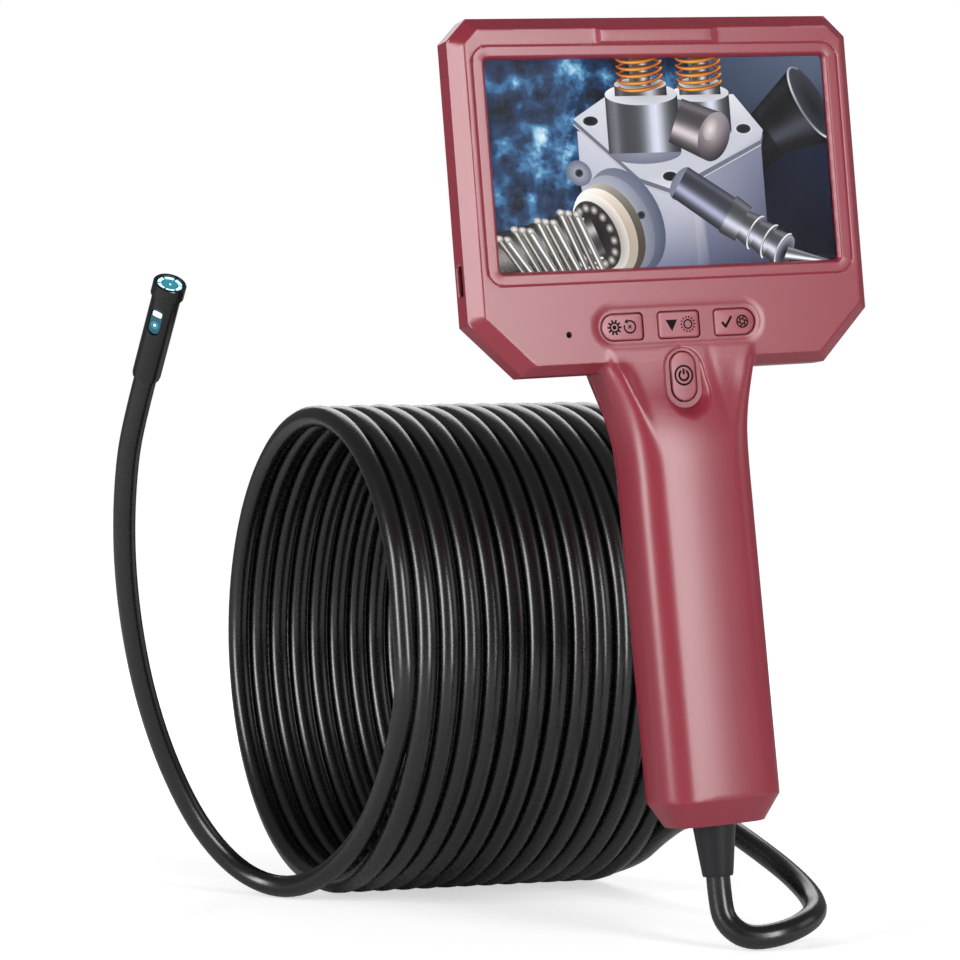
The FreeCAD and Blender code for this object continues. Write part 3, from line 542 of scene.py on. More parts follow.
def silhouette(y):
    """The handset's closed outline at a depth, seen from the front."""
    right = [(x - palm_inset(z, y), z) for x, z in grip_side(0)]
    left = [(-x, z) for x, z in reversed(right)]
    corners = head_corners(0)
    head = spaced([right[0]] + corners + [left[-1]], 1.0, closed=False)
    base = spaced([left[0], right[-1]], 1.0, closed=False)
    return head + left[::-1][1:] + base[1:-1] + right[::-1][:-1]


def rounded_loop(half, middle, corners, gap):
    """A closed rectangle whose corners, from the lower right and round, have own radii."""
    line = []
    signs = ((1, -1), (1, 1), (-1, 1), (-1, -1))
    for index, ((sx, sz), radius) in enumerate(zip(signs, corners)):
        cx = middle[0] + sx * (half[0] - radius)
        cz = middle[1] + sz * (half[1] - radius)
        steps = max(2, math.ceil(radius * pi / 2 / gap))
        for step in range(steps + 1):
            turn = radians(-90 + 90 * index + 90 * step / steps)
            line.append(polar((cx, cz), radius, turn))
    return spaced(line, gap)


def key_loops(grow, gap):
    wide, tall = KEY_HOLE[0] + grow, KEY_HOLE[1] + grow
    small, big = 1.4 + grow, tall - 0.01
    power = (POWER_HOLE[0] + grow, POWER_HOLE[1] + grow)
    side = power[0] - 0.01
    return {
        "menu": rounded_loop((wide, tall), (-KEY_PITCH, KEY_ROW), (small, small, big, big), gap),
        "down": rounded_loop((wide, tall), (0, KEY_ROW), (small,) * 4, gap),
        "ok": rounded_loop((wide, tall), (KEY_PITCH, KEY_ROW), (big, big, small, small), gap),
        "power": rounded_loop(power, (0, POWER_MID), (side,) * 4, gap),
    }


class PointField:
    """Points in the plane that keep a distance from those placed before them."""

    def __init__(self):
        self.points = []
        self.cells = {}

    def near(self, x, z, gap):
        cx, cz, reach = math.floor(x), math.floor(z), math.ceil(gap)
        return any((px - x) ** 2 + (pz - z) ** 2 < gap * gap
                   for i in range(cx - reach, cx + reach + 1)
                   for j in range(cz - reach, cz + reach + 1)
                   for px, pz in self.cells.get((i, j), ()))

    def add(self, x, z, gap=0.0):
        if gap and self.near(x, z, gap):
            return
        self.cells.setdefault((math.floor(x), math.floor(z)), []).append((x, z))
        self.points.append((x, z))

    def loop(self, line):
        """A boundary: its points and the edges between them."""
        first = len(self.points)
        for x, z in line:
            self.add(x, z)
        count = len(line)
        return [(first + i, first + (i + 1) % count) for i in range(count)]

    def grid(self, low, high, step, gap):
        for i in range(int((high[0] - low[0]) / step) + 1):
            for j in range(int((high[1] - low[1]) / step) + 1):
                self.add(low[0] + i * step, low[1] + j * step, gap)


def inside_loop(loop, x, z):
    result = False
    for (ax, az), (bx, bz) in zip(loop, loop[1:] + loop[:1]):
        if (az > z) != (bz > z) and x < ax + (z - az) / (bz - az) * (bx - ax):
            result = not result
    return result


def in_silhouette(x, z, y):
    if z >= HEAD_BOTTOM:
        return min(edge_distances(HEAD_EDGES, x, z)) > 0.02
    half = eased_grip(z)[0] - palm_inset(z, y)
    return z > GRIP_SECTIONS[0][0] and abs(x) < half - 0.02


def in_port(x, y, z):
    """Whether a place on the head's side lies in the opening for the cable or the card."""
    side, depths, heights = USB_PORT if x < 0 else CARD_PORT
    return (abs(x - side) < 0.1 and depths[0] < y < depths[1] and heights[0] < z < heights[1])


def shell_from(name, depth, holes, rows, replaced):
    """A shell half: its surface, the walls of its holes, and its side down to the seam.

    holes maps each loop to how far its wall goes in and whether it has a floor; rows are
    lines that follow the creases, with the least gap kept round their points.
    """
    loops = [loop for loop, _, _ in holes]
    field = PointField()
    inward = 1 if depth is front_depth else -1
    rim = 0.0 if inward > 0 else PARTING + REAR_RIM
    outline = silhouette(rim)
    edges = field.loop(outline)
    hole_edges = [field.loop(loop) for loop in loops]
    on_edges = len(field.points)
    for line, gap in rows:
        for x, z in line:
            if in_silhouette(x, z, rim):
                field.add(x, z, gap)
    field.grid((-32, 48), (32, 92), 0.8, 0.6)
    field.grid((-66, -70), (66, 175), 1.8, 1.3)

    def in_hole(x, z):
        return any(inside_loop(loop, x, z) for loop in loops)

    points = [Vector(p) for i, p in enumerate(field.points)
              if i < on_edges or (in_silhouette(*p, rim) and not in_hole(*p))]
    fixed = edges + [edge for loop in hole_edges for edge in loop]
    flat, _, triangles, *_ = geometry.delaunay_2d_cdt(points, fixed, [], 0, 1e-5, False)
    faces = []
    for triangle in triangles:
        x = sum(flat[i].x for i in triangle) / 3
        z = sum(flat[i].y for i in triangle) / 3
        if inside_loop(outline, x, z) and not in_hole(x, z):
            faces.append(tuple(triangle))
    corners = [(p.x, depth(p.x, p.y), p.y) for p in flat]

    a, b, c = (flat[i] for i in faces[0])
    if (b - a).cross(c - a) * inward < 0:
        faces = [face[::-1] for face in faces]

    def wall(ring, levels, hole=False):
        """Quads from a ring of corners through further rings at given insets and depths."""
        count = len(ring)
        below = ring
        for inset, level in levels:
            start = len(corners)
            for i in range(count):
                x, y, z = corners[ring[i]]
                ax, _, az = corners[ring[i - 1]]
                bx, _, bz = corners[ring[(i + 1) % count]]
                side = Vector((bz - az, ax - bx))
                side = side.normalized() if side.length else side
                deep = level(y)
                if not hole and z < HEAD_BOTTOM:
                    half = eased_grip(z)[0]
                    x *= (half - palm_inset(z, deep)) / (half - palm_inset(z, rim))
                corners.append((x - side.x * inset, deep, z - side.y * inset))
            here = list(range(start, start + count))
            for i in range(count):
                j = (i + 1) % count
                quad = (below[i], below[j], here[j], here[i])
                middle = sum((Vector(corners[k]) for k in quad), Vector()) / 4
                if hole or not in_port(*middle):
                    faces.append(quad if (inward < 0) != hole else quad[::-1])
            below = here
        return below

    stops = (-0.2, *USB_PORT[1], *CARD_PORT[1], PARTING - SEAM) if inward > 0 else ()
    levels = [(0, lambda y, d=deep: d) for deep in sorted(stops)]
    wall([a for a, _ in edges], levels + [(SEAM, lambda y: PARTING)])
    for loop_edges, (_, deep, floor) in zip(hole_edges, holes):
        last = wall([a for a, _ in loop_edges], [(0, lambda y, d=deep: y + inward * d)], True)
        if floor:
            faces.append(tuple(last[::inward]))
    made = piece_from(name, corners, faces, HANDSET, angle=40, outward=False)
    thick = made.modifiers.new("wall", "SOLIDIFY")
    thick.thickness = SHELL_WALL * MM
    thick.offset = -1.0
    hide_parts(replaced)
    return made


def offset_loops(half, middle, corner, offsets, gap):
    """Rounded rectangles grown by each offset in turn."""
    return [(rounded_loop((half[0] + grow, half[1] + grow), middle,
                          (max(corner + grow, 0.3),) * 4, gap), 0.12) for grow in offsets]


def level_rows(half, heights, step, gap):
    return [(spaced([(-half, z), (half, z)], step, closed=False), gap) for z in heights]


def shared_rows():
    """Lines of points that both shell halves need."""
    rows = []
    corner = GRIP_SECTIONS[1][4] * PALM_ROUND
    for step in range(1, 15):
        inset = corner * (1 - cos(radians(6.4 * step)))
        side = grip_side(inset)[:-1]
        rows += [(side, 0.04), ([(-x, z) for x, z in side], 0.04)]
    knee = GRIP_SECTIONS[1][0]
    return rows + level_rows(24, (knee - 0.3, knee + 0.3, HEAD_BOTTOM + 0.2, HEAD_BOTTOM - 0.4),
                             1.0, 0.2)


def front_rows():
    rows = [(spaced(head_corners(inset), 1.2), 0.12) for inset in (0.3, 3.4, 3.65, 3.8, 3.95, 4.2, 4.6)]
    low_bevel = [HEAD_BOTTOM + inset for inset in (2.45, 2.65, 2.8, 2.95, 3.2)]
    rows += level_rows(54, low_bevel, 1.2, 0.12)
    middle = (0, SCREEN_MID)
    rows += offset_loops(VIEW_HALF, middle, 1.0, (0.3, 0.6, 0.8, 0.9, 1.0, 1.3), 1.2)
    rows += offset_loops(GROOVE_HALF, middle, GROOVE_CORNER,
                         (-0.7, -0.42, -0.28, -0.14, 0.0, 0.14, 0.28, 0.42, 0.7), 1.2)
    rows += level_rows(24, (165.6, 165.9, 166.2, 169.2, 169.6, 170.0), 0.8, 0.15)
    for sign in (-1, 1):
        for x in (17.6, 18.2, 19.0, 19.8, 20.4):
            rows.append((spaced([(sign * x, 165.2), (sign * x, 170.4)], 0.5, closed=False), 0.15))
    rows += offset_loops((RECESS_HALF, RECESS_TALL), (0, RECESS_MID), RECESS_TALL - 0.01,
                         (0.4, 0.0, -0.4, -0.8, -1.2, -1.6, -2.0, -2.4), 0.7)
    centre = (WELL_ENDS[0] + WELL_ENDS[1]) / 2
    rows += offset_loops((WELL_HALF, WELL_ENDS[1] - centre), (0, centre), WELL_HALF - 0.01,
                         (2.0, 1.5, 1.0, 0.6, 0.3, 0.0, -0.3, -0.6, -0.9), 0.5)
    return rows + [(loop, 0.12) for loop in key_loops(0.25, 0.4).values()]


def build_front_shell():
    holes = [(loop, 1.5, False) for loop in key_loops(0.0, 0.4).values()]
    holes.append((rounded_loop(VIEW_HALF, (0, SCREEN_MID), (1.0,) * 4, 1.0), 0.9, False))
    holes.append((circle_loop(MIC, MIC_HOLE, 20), 1.5, False))
    shell_from("front_shell", front_depth, holes, shared_rows() + front_rows(), "front_housing")


def build_rear_shell():
    rows = shared_rows() + [(spaced(head_corners(inset), 1.2), 0.15)
                            for inset in (0.4, 0.9, 1.8, 2.7, 3.5, 3.8, 4.1)]
    holes = [(circle_loop(place, SCREW_WELL, 24), SCREW_DEEP, True) for place in SCREW_PLACES]
    shell_from("rear_shell", rear_depth, holes, rows, "rear_housing")


# ---- keys

def inset_line(line, inset):
    """A closed line moved in by its own normals."""
    count = len(line)
    moved = []
    for i, (x, z) in enumerate(line):
        ax, az = line[i - 1]
        bx, bz = line[(i + 1) % count]
        side = Vector((bz - az, ax - bx)).normalized()
        moved.append((x - side.x * inset, z - side.y * inset))
    return moved


def stepped_piece(name, outline, levels, body, skin):
    """A solid whose outline is drawn in by each level's inset, at that level's depth."""
    corners, faces = [], []
    add_solid(corners, faces, [[(x, depth, z) for x, z in inset_line(outline, inset)]
                               for inset, depth in levels])
    return piece_from(name, corners, faces, HANDSET, body, skin)


def build_key(name, front, back):
    """A cap with rounded edges and its lip behind the shell."""
    outline = key_loops(-KEY_GAP, 0.35)[name]
    levels = ((-0.9, back + 0.8), (-0.9, back), (0.0, back), (0.0, front + 0.45),
              (0.06, front + 0.24), (0.2, front + 0.09), (0.42, front + 0.02), (0.75, front))
    cap = stepped_piece(name + "_cap", outline, levels, name + "_key", RED_KEY)
    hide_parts(name + "_button")


# ---- the printed symbols

class Ink:
    """Flat symbols with a little thickness, gathered into one piece."""

    def __init__(self, depth):
        self.depth = depth
        self.corners, self.faces = [], []

    def patch(self, outer, inner=None):
        """A filled outline, or the band between two outlines of as many points."""
        deep = self.depth + INK_THICK
        rings = [[(x, self.depth, z) for x, z in outer], [(x, deep, z) for x, z in outer]]
        if inner:
            rings += [[(x, deep, z) for x, z in inner], [(x, self.depth, z) for x, z in inner]]
        add_solid(self.corners, self.faces, rings, hollow=bool(inner))

    def ring(self, centre, outer, inner, count=32):
        self.patch(circle_loop(centre, outer, count), circle_loop(centre, inner, count))

    def arc(self, centre, radius, wide, start, end):
        self.patch(arc_band(centre, radius - wide / 2, radius + wide / 2, start, end, 24))

    def bar(self, start, end, wide):
        along = (Vector(end) - Vector(start)).normalized() * wide / 2
        side = Vector((-along.y, along.x))
        a, b = Vector(start), Vector(end)
        self.patch([tuple(a + side), tuple(a - side), tuple(b - side), tuple(b + side)])

    def rays(self, centre, near, far, wide, count, turn=0.0):
        for i in range(count):
            angle = radians(turn) + 2 * pi * i / count
            way = Vector((cos(angle), sin(angle)))
            self.bar(Vector(centre) + way * near, Vector(centre) + way * far, wide)

    def finish(self, name, body):
        made = piece_from(name, self.corners, self.faces, HANDSET, body, ICON)


def places(middle, *offsets):
    return [(middle[0] + across, middle[1] + up) for across, up in offsets]


def build_symbols(front, power_front):
    menu = Ink(front - INK_PROUD)
    gear = (-KEY_PITCH - 2.5, KEY_ROW)
    menu.ring(gear, 1.55, 1.05)
    menu.rays(gear, 1.4, 2.3, 0.6, 10)
    menu.patch(circle_loop(gear, 0.65, 16))
    turn = (-KEY_PITCH + 2.5, KEY_ROW)
    menu.arc(turn, 1.8, 0.5, -200, 110)
    menu.patch(places(turn, (-0.7, 2.4), (-0.55, 0.9), (-1.75, 1.5)))
    menu.rays(turn, 0.0, 0.7, 0.35, 4, 45)
    menu.finish("menu_symbols", "menu_key")

    down = Ink(front - INK_PROUD)
    down.patch(places((-2.3, KEY_ROW), (-1.9, 1.5), (0, -1.9), (1.9, 1.5)))
    sun = (3.0, KEY_ROW)
    down.ring(sun, 1.5, 1.05)
    down.rays(sun, 1.85, 2.45, 0.42, 14)
    down.finish("down_symbols", "down_key")

    accept = Ink(front - INK_PROUD)
    tick = (KEY_PITCH - 2.6, KEY_ROW)
    accept.bar(*places(tick, (-1.5, 0.1), (-0.3, -1.5)), 0.75)
    accept.bar(*places(tick, (-0.5, -1.5), (1.7, 1.7)), 0.75)
    shutter = (KEY_PITCH + 2.6, KEY_ROW)
    accept.ring(shutter, 2.0, 1.55)
    for blade in range(6):
        angle = radians(60 * blade)
        accept.bar(polar(shutter, 1.7, angle), polar(shutter, 0.8, angle + 1.5), 0.4)
    accept.finish("ok_symbols", "ok_key")

    power = Ink(power_front - INK_PROUD)
    centre = (0.0, POWER_MID + 0.3)
    power.ring(centre, 3.1, 2.5, 40)
    power.arc(centre, 1.5, 0.68, 120, 420)
    power.bar(*places(centre, (0, 0.2), (0, 2.0)), 0.68)
    power.finish("power_symbols", "power_key")


# ---- the screws

def build_screw_cross_shade():
    """The screws' driver recesses, as thin dark crosses of painted shade on their heads."""
    corners, faces = [], []
    long, wide = CROSS_HALF
    for x, z in SCREW_PLACES:
        outside = BACK if z > 0 else eased_grip(z)[2]
        y = outside - SCREW_DEEP + SCREW_HEAD
        for half_x, half_z in ((long, wide), (wide, long)):
            add_solid(corners, faces, [
                [(x - half_x, level, z - half_z), (x + half_x, level, z - half_z),
                 (x + half_x, level, z + half_z), (x - half_x, level, z + half_z)]
                for level in (y - 0.05, y + 0.02)])
    made = piece_from("screw_cross_shade", corners, faces, HANDSET, skin=RESIN)


# ---- the cable

def coil_route():
    """The coil's turns, from its right end to its left; every turn leans the same way."""
    low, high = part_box("cord_coil")
    rise, floor = high.z - low.z, low.z
    back = high.y - CABLE / 2
    front = low.y + CABLE / 2
    first = LOOP_ROUTE[-1][0] + COIL_LEAN * (LOOP_ROUTE[-1][1] - front)
    last = LEAD_ROUTE[0][0] + COIL_LEAN * (LEAD_ROUTE[0][1] - front)
    bulge = cos(pi / COIL_STEPS)
    sweep = COIL_END + 360 * COIL_TURNS - COIL_START
    count = round(sweep * COIL_STEPS / 360)
    route = []
    for step in range(count + 1):
        part = step / count
        turn = radians(COIL_START + sweep * part)
        wander = COIL_WANDER * (noise.noise(Vector((part * COIL_TURNS * 1.3, 0.5, 7.1))) - 1)
        reach = (rise - CABLE) / 2 + COIL_FLARE * (1 - part) + wander
        y = back - reach - reach / bulge * cos(turn)
        z = floor + CABLE / 2 + reach - reach / bulge * sin(turn)
        x = first + (last - first) * part - COIL_LEAN * (y - front)
        route.append((x, y, max(z, floor + CABLE / 2)))
    return route


# ---- the probe's lights

def middle_of(name):
    low, high = (Vector(corner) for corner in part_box(name))
    return (low + high) / 2


def probe_axes():
    """The probe's own axes: Z out of its tip, X out of its side window."""
    tip = Vector(mounts["probe_collar"]["axis"]).normalized()
    base = middle_of("front_window") - tip * GLASS_MID * MM
    side = middle_of("side_window") - base
    side = (side - tip * side.dot(tip)).normalized()
    return axes_matrix((side, tip.cross(side), tip), base)


PROBE = probe_axes()


def probe_patch(name, outlines, lift, skin):
    """Thin flat shapes with the probe's tip or side as their plane."""
    corners, faces = [], []
    for outline in outlines:
        add_solid(corners, faces, [[lift(a, b, proud) for a, b in outline]
                                   for proud in (0.0, PATCH_THICK)])
    made = piece_from(name, corners, faces, PROBE, skin=skin)
    return made


def build_probe_lights():
    """What glows behind the tip's glass and behind the side window: the LEDs and a lamp, with a painted
    teal glow on the lenses and panes and painted glints.
    """
    def on_tip(steps):
        return lambda a, b, proud: (a, b, TIP_LEVEL + steps * PATCH_STEP + proud)

    def in_side(steps):
        return lambda a, b, proud: (SIDE_LEVEL + steps * PATCH_STEP + proud, a, b)

    bands = [arc_band((0, 0), 2.75, 3.85, 60 * i + 6, 60 * i + 54) for i in range(6)]
    pane = rounded_loop((1.85, 4.5), (0, SIDE_MID), (1.84,) * 4, 0.3)
    lamp = rounded_loop((1.5, 0.9), (0, SIDE_MID + 2.7), (0.5,) * 4, 0.3)
    lens = (0, SIDE_MID - 1.4)
    ring = [arc_band(lens, 0.85, 1.35, 90 * i, 90 * i + 90) for i in range(4)]
    return [
        probe_patch("tip_disc", [circle_loop((0, 0), 4.05, 40)], on_tip(0), TEAL_DIM_PAINTED_GLOW),
        probe_patch("tip_lights", bands, on_tip(1), LED_AND_PAINTED_GLINT),
        probe_patch("tip_lens", [circle_loop((0, 0), 2.6, 6)], on_tip(1), TEAL_PAINTED_GLOW),
        # Painted highlight: a glint spot on the tip's lens.
        probe_patch("tip_glint", [circle_loop((0.1, 0.2), 0.35, 12)], on_tip(2), LED_AND_PAINTED_GLINT),
        probe_patch("side_pane", [pane], in_side(0), TEAL_DIM_PAINTED_GLOW),
        probe_patch("side_lamp", [lamp], in_side(1), WARM_LED),
        probe_patch("side_ring", ring, in_side(1), TEAL_PAINTED_GLOW),
        # Painted highlight: a glint spot in the middle of the side lens.
        probe_patch("side_lens", [circle_loop(lens, 0.5, 16)], in_side(1), LED_AND_PAINTED_GLINT),
    ]


def build_cable():
    """One jacket from the sleeve, through the loop and the coil, up to the probe."""
    exit_point = HANDSET @ Vector(CABLE_EXIT)
    route = [tuple(exit_point), *LOOP_ROUTE, *coil_route(), *LEAD_ROUTE]
    curve = bpy.data.curves.new("camera_cable", "CURVE")
    curve.dimensions = "3D"
    spline = curve.splines.new("NURBS")
    spline.points.add(len(route) - 1)
    for point, place in zip(spline.points, route):
        point.co = (*place, 1.0)
    spline.order_u = 3
    spline.use_endpoint_u = True
    spline.resolution_u = 6
    curve.bevel_depth = CABLE / 2
    curve.bevel_resolution = 5
    curve.use_fill_caps = True
    curve.materials.append(CABLE_BLACK)
    cable = placed("camera_cable", curve)
    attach(cable, "handset")
    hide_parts("cord_loop", "cord_coil", "cord_lead")
    on_cable = [nodes[name] for name in PROBE_NODES] + build_probe_lights()


# ---- the picture on the screen

def slanted(centre, radii, tilt, angle):
    """A place on an ellipse whose axes are turned by tilt degrees."""
    turn = radians(tilt)
    px, pz = radii[0] * cos(angle), radii[1] * sin(angle)
    return (centre[0] + px * cos(turn) - pz * sin(turn),
            centre[1] + px * sin(turn) + pz * cos(turn))


def clipped(light):
    return min(max(light, 0), 255)


class Picture:
    """Flat shaded shapes, each a little in front of the one before, in one piece.

    Places are millimetres right and up from the middle of the screen.
    """

    def __init__(self):
        self.corners, self.faces, self.shades = [], [], []
        self.depth = PICTURE_BACK

    def put(self, points, shades):
        start = len(self.corners)
        half_x, half_z = VIEW_HALF
        for x, z in points:
            x = min(max(x, -half_x - 1), half_x + 1)
            z = min(max(z, -half_z - 1), half_z + 1)
            self.corners.append((x, self.depth, SCREEN_MID + z))
        self.shades += [rgb(*shade) for shade in shades]
        return start

    def patch(self, points, shades):
        """A polygon with a shade for each corner, or one for all."""
        self.depth -= PICTURE_STEP
        shades = shades if isinstance(shades, list) else [shades] * len(points)
        start = self.put(points, shades)
        self.faces.append(tuple(range(start, start + len(points))))

    def rings(self, centre, tilt, angles, layers, closed):
        """Ellipses one round another; each layer gives its radii and its shade at an angle."""
        self.depth -= PICTURE_STEP
        starts = [self.put([slanted(centre, radii, tilt, angle) for angle in angles],
                           [shade(angle) for angle in angles]) for radii, shade in layers]
        self.join(starts, len(angles), closed)

    def disc(self, centre, radii, tilt, inner, outer, steps=36, glint=0.0):
        """An ellipse that runs from its middle's shade to its rim's, brighter to one side."""
        def layer(part):
            def shade(angle):
                lift = glint * part * cos(angle - 2.2)
                return [clipped(a + (b - a) * part + lift) for a, b in zip(inner, outer)]
            return (radii[0] * part, radii[1] * part), shade

        angles = [2 * pi * i / steps for i in range(steps)]
        parts = (0.001, 0.35, 0.7, 0.88, 1.0)
        self.rings(centre, tilt, angles, [layer(part) for part in parts], True)

    def hoop(self, centre, radii, width, tilt, shade, start=0, end=360, steps=40):
        """A round wire seen at a slant, shaded across its width."""
        def layer(across, light):
            def shade_at(angle):
                glow = light * (1 + 0.25 * sin(3 * angle + 1))
                return [clipped(c * glow) for c in shade]
            return (radii[0] + across * width, radii[1] + across * width), shade_at

        angles = [radians(start + (end - start) * i / steps) for i in range(steps + 1)]
        lights = ((-0.5, 0.35), (-0.2, 0.9), (0.1, 1.35), (0.5, 0.45))
        self.rings(centre, tilt, angles, [layer(*entry) for entry in lights], False)

    def rod(self, start, end, half, shade, end_half=None, bright=0.35):
        """A round bar or cone from one place to another, polished along its length."""
        self.depth -= PICTURE_STEP
        start, end = Vector(start), Vector(end)
        side = (end - start).orthogonal().normalized()
        rows = []
        for step in range(17):
            across = step / 8 - 1
            glow = 0.45 + 0.95 * exp(-((across + bright) / 0.3) ** 2)
            glow += 0.4 * exp(-((across - 0.8) / 0.16) ** 2)
            glow *= 0.6 + 0.4 * sqrt(max(1 - across * across, 0))
            shades = [[clipped(c * glow) for c in shade]] * 2
            first = start + side * half * across
            last = end + side * (end_half or half) * across
            rows.append(self.put([tuple(first), tuple(last)], shades))
        self.join(rows, 2, False)

    def join(self, rows, count, closed):
        for low, high in zip(rows, rows[1:]):
            for i in range(count if closed else count - 1):
                j = (i + 1) % count
                self.faces.append((low + i, low + j, high + j, high + i))

    def finish(self, name, skin):
        made = piece_from(name, self.corners, self.faces, HANDSET, skin=skin, outward=False)
        colours = made.data.color_attributes.new("shade", "FLOAT_COLOR", "POINT")
        for entry, shade in zip(colours.data, self.shades):
            entry.color = shade


def screen_skin(name):
    return principled(name, Base_Color=(0.01, 0.01, 0.01, 1), Roughness=0.6,
                      Specular_IOR_Level=0.1, Emission_Strength=SCREEN_GLOW)


def lit_picture():
    made, shader, tree, link = screen_skin("lit_picture")
    shade = tree.new("ShaderNodeVertexColor")
    shade.layer_name = "shade"
    link(shade.outputs["Color"], shader.inputs["Emission Color"])
    return made


def blurred_backdrop():
    """The out-of-focus blue behind the machine, with scattered brighter flecks."""
    made, shader, tree, link = screen_skin("blurred_backdrop")
    pattern = noise_node(tree, link, 95.0, 8.0)
    pattern.inputs["Roughness"].default_value = 0.62
    ramp = tree.new("ShaderNodeValToRGB")
    stops = ramp.color_ramp.elements
    shades = ((0.38, (10, 16, 30)), (0.5, (30, 60, 100)), (0.58, (66, 126, 176)),
              (0.64, (150, 204, 230)), (0.72, (232, 244, 250)))
    for index, (place, shade) in enumerate(shades):
        stop = stops[index] if index < 2 else stops.new(place)
        stop.position = place
        stop.color = rgb(*shade)
    link(pattern.outputs["Fac"], ramp.inputs["Fac"])
    link(ramp.outputs["Color"], shader.inputs["Emission Color"])
    return made


def build_picture():
    """A made-up view of a valve block: springs, a bearing, a gear and a hose tail."""
    half_x, half_z = VIEW_HALF[0] + 1, VIEW_HALF[1] + 1
    backdrop = Picture()
    backdrop.patch([(-half_x, -half_z), (half_x, -half_z), (half_x, half_z), (-half_x, half_z)],
                   (0, 0, 0))
    backdrop.finish("picture_backdrop", blurred_backdrop())

    view = Picture()
    view.depth -= 2 * PICTURE_STEP
    disc, rod, hoop, patch = view.disc, view.rod, view.hoop, view.patch
    slate, night = (64, 78, 104), (14, 16, 24)
    patch([(18, half_z), (half_x, half_z), (half_x, 4), (34, 2), (22, 14)],
          [slate, (92, 104, 128), (30, 34, 48), (20, 24, 36), (48, 60, 84)])
    patch([(30, 2), (half_x, 4), (half_x, -half_z), (26, -half_z)],
          [(16, 22, 40), (24, 34, 60), (8, 12, 24), (14, 20, 36)])
    rod((33, 7), (50, 16), 7.0, (52, 54, 62), 12.5)
    rod((28, 3), (36, 8), 8.0, (22, 23, 28), 8.0)
    disc((51, 17), (4.2, 12.5), 30, (22, 24, 32), (58, 60, 70), glint=10)
    hoop((51, 17), (4.0, 12.2), 1.1, 30, (150, 152, 160), 60, 300)

    # the block: two faces and the flange on top
    pale = (214, 216, 228)
    patch([(-27, 10), (13, -3), (13, -half_z), (-12, -half_z), (-27, -10)],
          [pale, (226, 226, 238), (96, 102, 134), (128, 132, 160), (184, 188, 206)])
    patch([(13, -3), (33, 7), (33, -half_z), (13, -half_z)],
          [(158, 160, 184), (134, 138, 164), (60, 64, 90), (84, 90, 118)])
    patch([(9, -4), (13, -4), (13, -half_z), (9, -half_z)],
          [(236, 236, 246), (150, 152, 178), (84, 88, 116), (120, 124, 150)])
    flange = [(-28, 13.5), (-17, 20), (25, 20), (34, 9), (33, 6), (13, -3), (2, -8), (-8, -4.5)]
    patch([(x, z - 1.6) for x, z in flange], (112, 116, 136))
    patch(flange, [(214, 216, 226), (226, 228, 236), (236, 236, 242), (206, 208, 220),
                   (190, 194, 208), (206, 208, 220), (232, 234, 240), (204, 208, 218)])
    for hole in ((-22.5, 12.8), (27.5, 9.5), (2.0, -4.2)):
        disc(hole, (3.0, 1.9), 0, (150, 154, 168), (226, 228, 236))
        disc(hole, (2.4, 1.4), 0, night, (40, 42, 52))

    for start, end in (((-28, 12), (-8, -6)), ((-8, -6), (2, -9.5)), ((2, -9.5), (13, -4.6)),
                       ((13, -4.6), (33, 4.6))):
        rod(start, end, 0.35, (240, 240, 248))

    # two turrets and their springs
    for x, low, half in ((14.0, 9.0, 9.5), (-5.5, 3.0, 11.8)):
        disc((x, low), (half, half * 0.28), 0, (150, 154, 170), (120, 124, 144))
        rod((x, low), (x, 20.5), half, (168, 171, 184))
        disc((x, 20.5), (half, half * 0.28), 0, (196, 198, 208), (232, 234, 240), glint=18)
        rod((x, 20.0), (x, 23.5), half * 0.72, (150, 150, 158))
        disc((x, 23.5), (half * 0.72, 1.9), 0, (70, 62, 60), (210, 210, 216))
        rod((x, 23.0), (x, half_z), 3.4, (158, 158, 166))
        for coil in range(5):
            height = 23.6 + 2.1 * coil
            hoop((x, height), (7.2, 1.9), 1.15, 6, (206, 116, 44), 180, 360)
            hoop((x, height + 1.0), (7.2, 1.9), 0.9, 6, (120, 62, 24), 20, 160)

    # a plug in the near face
    rod((5, 12.5), (17, 7.5), 7.0, (168, 158, 164), 7.8)
    disc((17.4, 7.3), (5.0, 7.8), -24, (176, 164, 166), (104, 96, 106), glint=60)
    disc((16.4, 9.6), (2.2, 3.6), -24, (238, 232, 232), (178, 166, 168))

    # the hose tail with its barbs
    disc((5.5, -6.5), (3.0, 5.6), -36, (150, 152, 172), (120, 124, 146))
    rod((5, -6), (22, -17.5), 5.4, (134, 137, 160), 5.8)
    rod((20, -16), (25, -19.3), 6.4, (166, 168, 180), 6.0)
    for barb in range(3):
        start = Vector((24.5 + 4.4 * barb, -19.2 - 2.8 * barb))
        rod(start, start + Vector((4.6, -2.9)), 4.6, (170, 172, 184), 5.6)
        hoop(tuple(start + Vector((4.6, -2.9))), (2.2, 5.6), 0.7, -32, (232, 234, 242), 90, 270)
    disc((38.2, -28.0), (2.3, 5.4), -32, night, (128, 130, 142), glint=40)
    rod((38.5, -28.5), (half_x, -37), 2.2, (226, 228, 240))

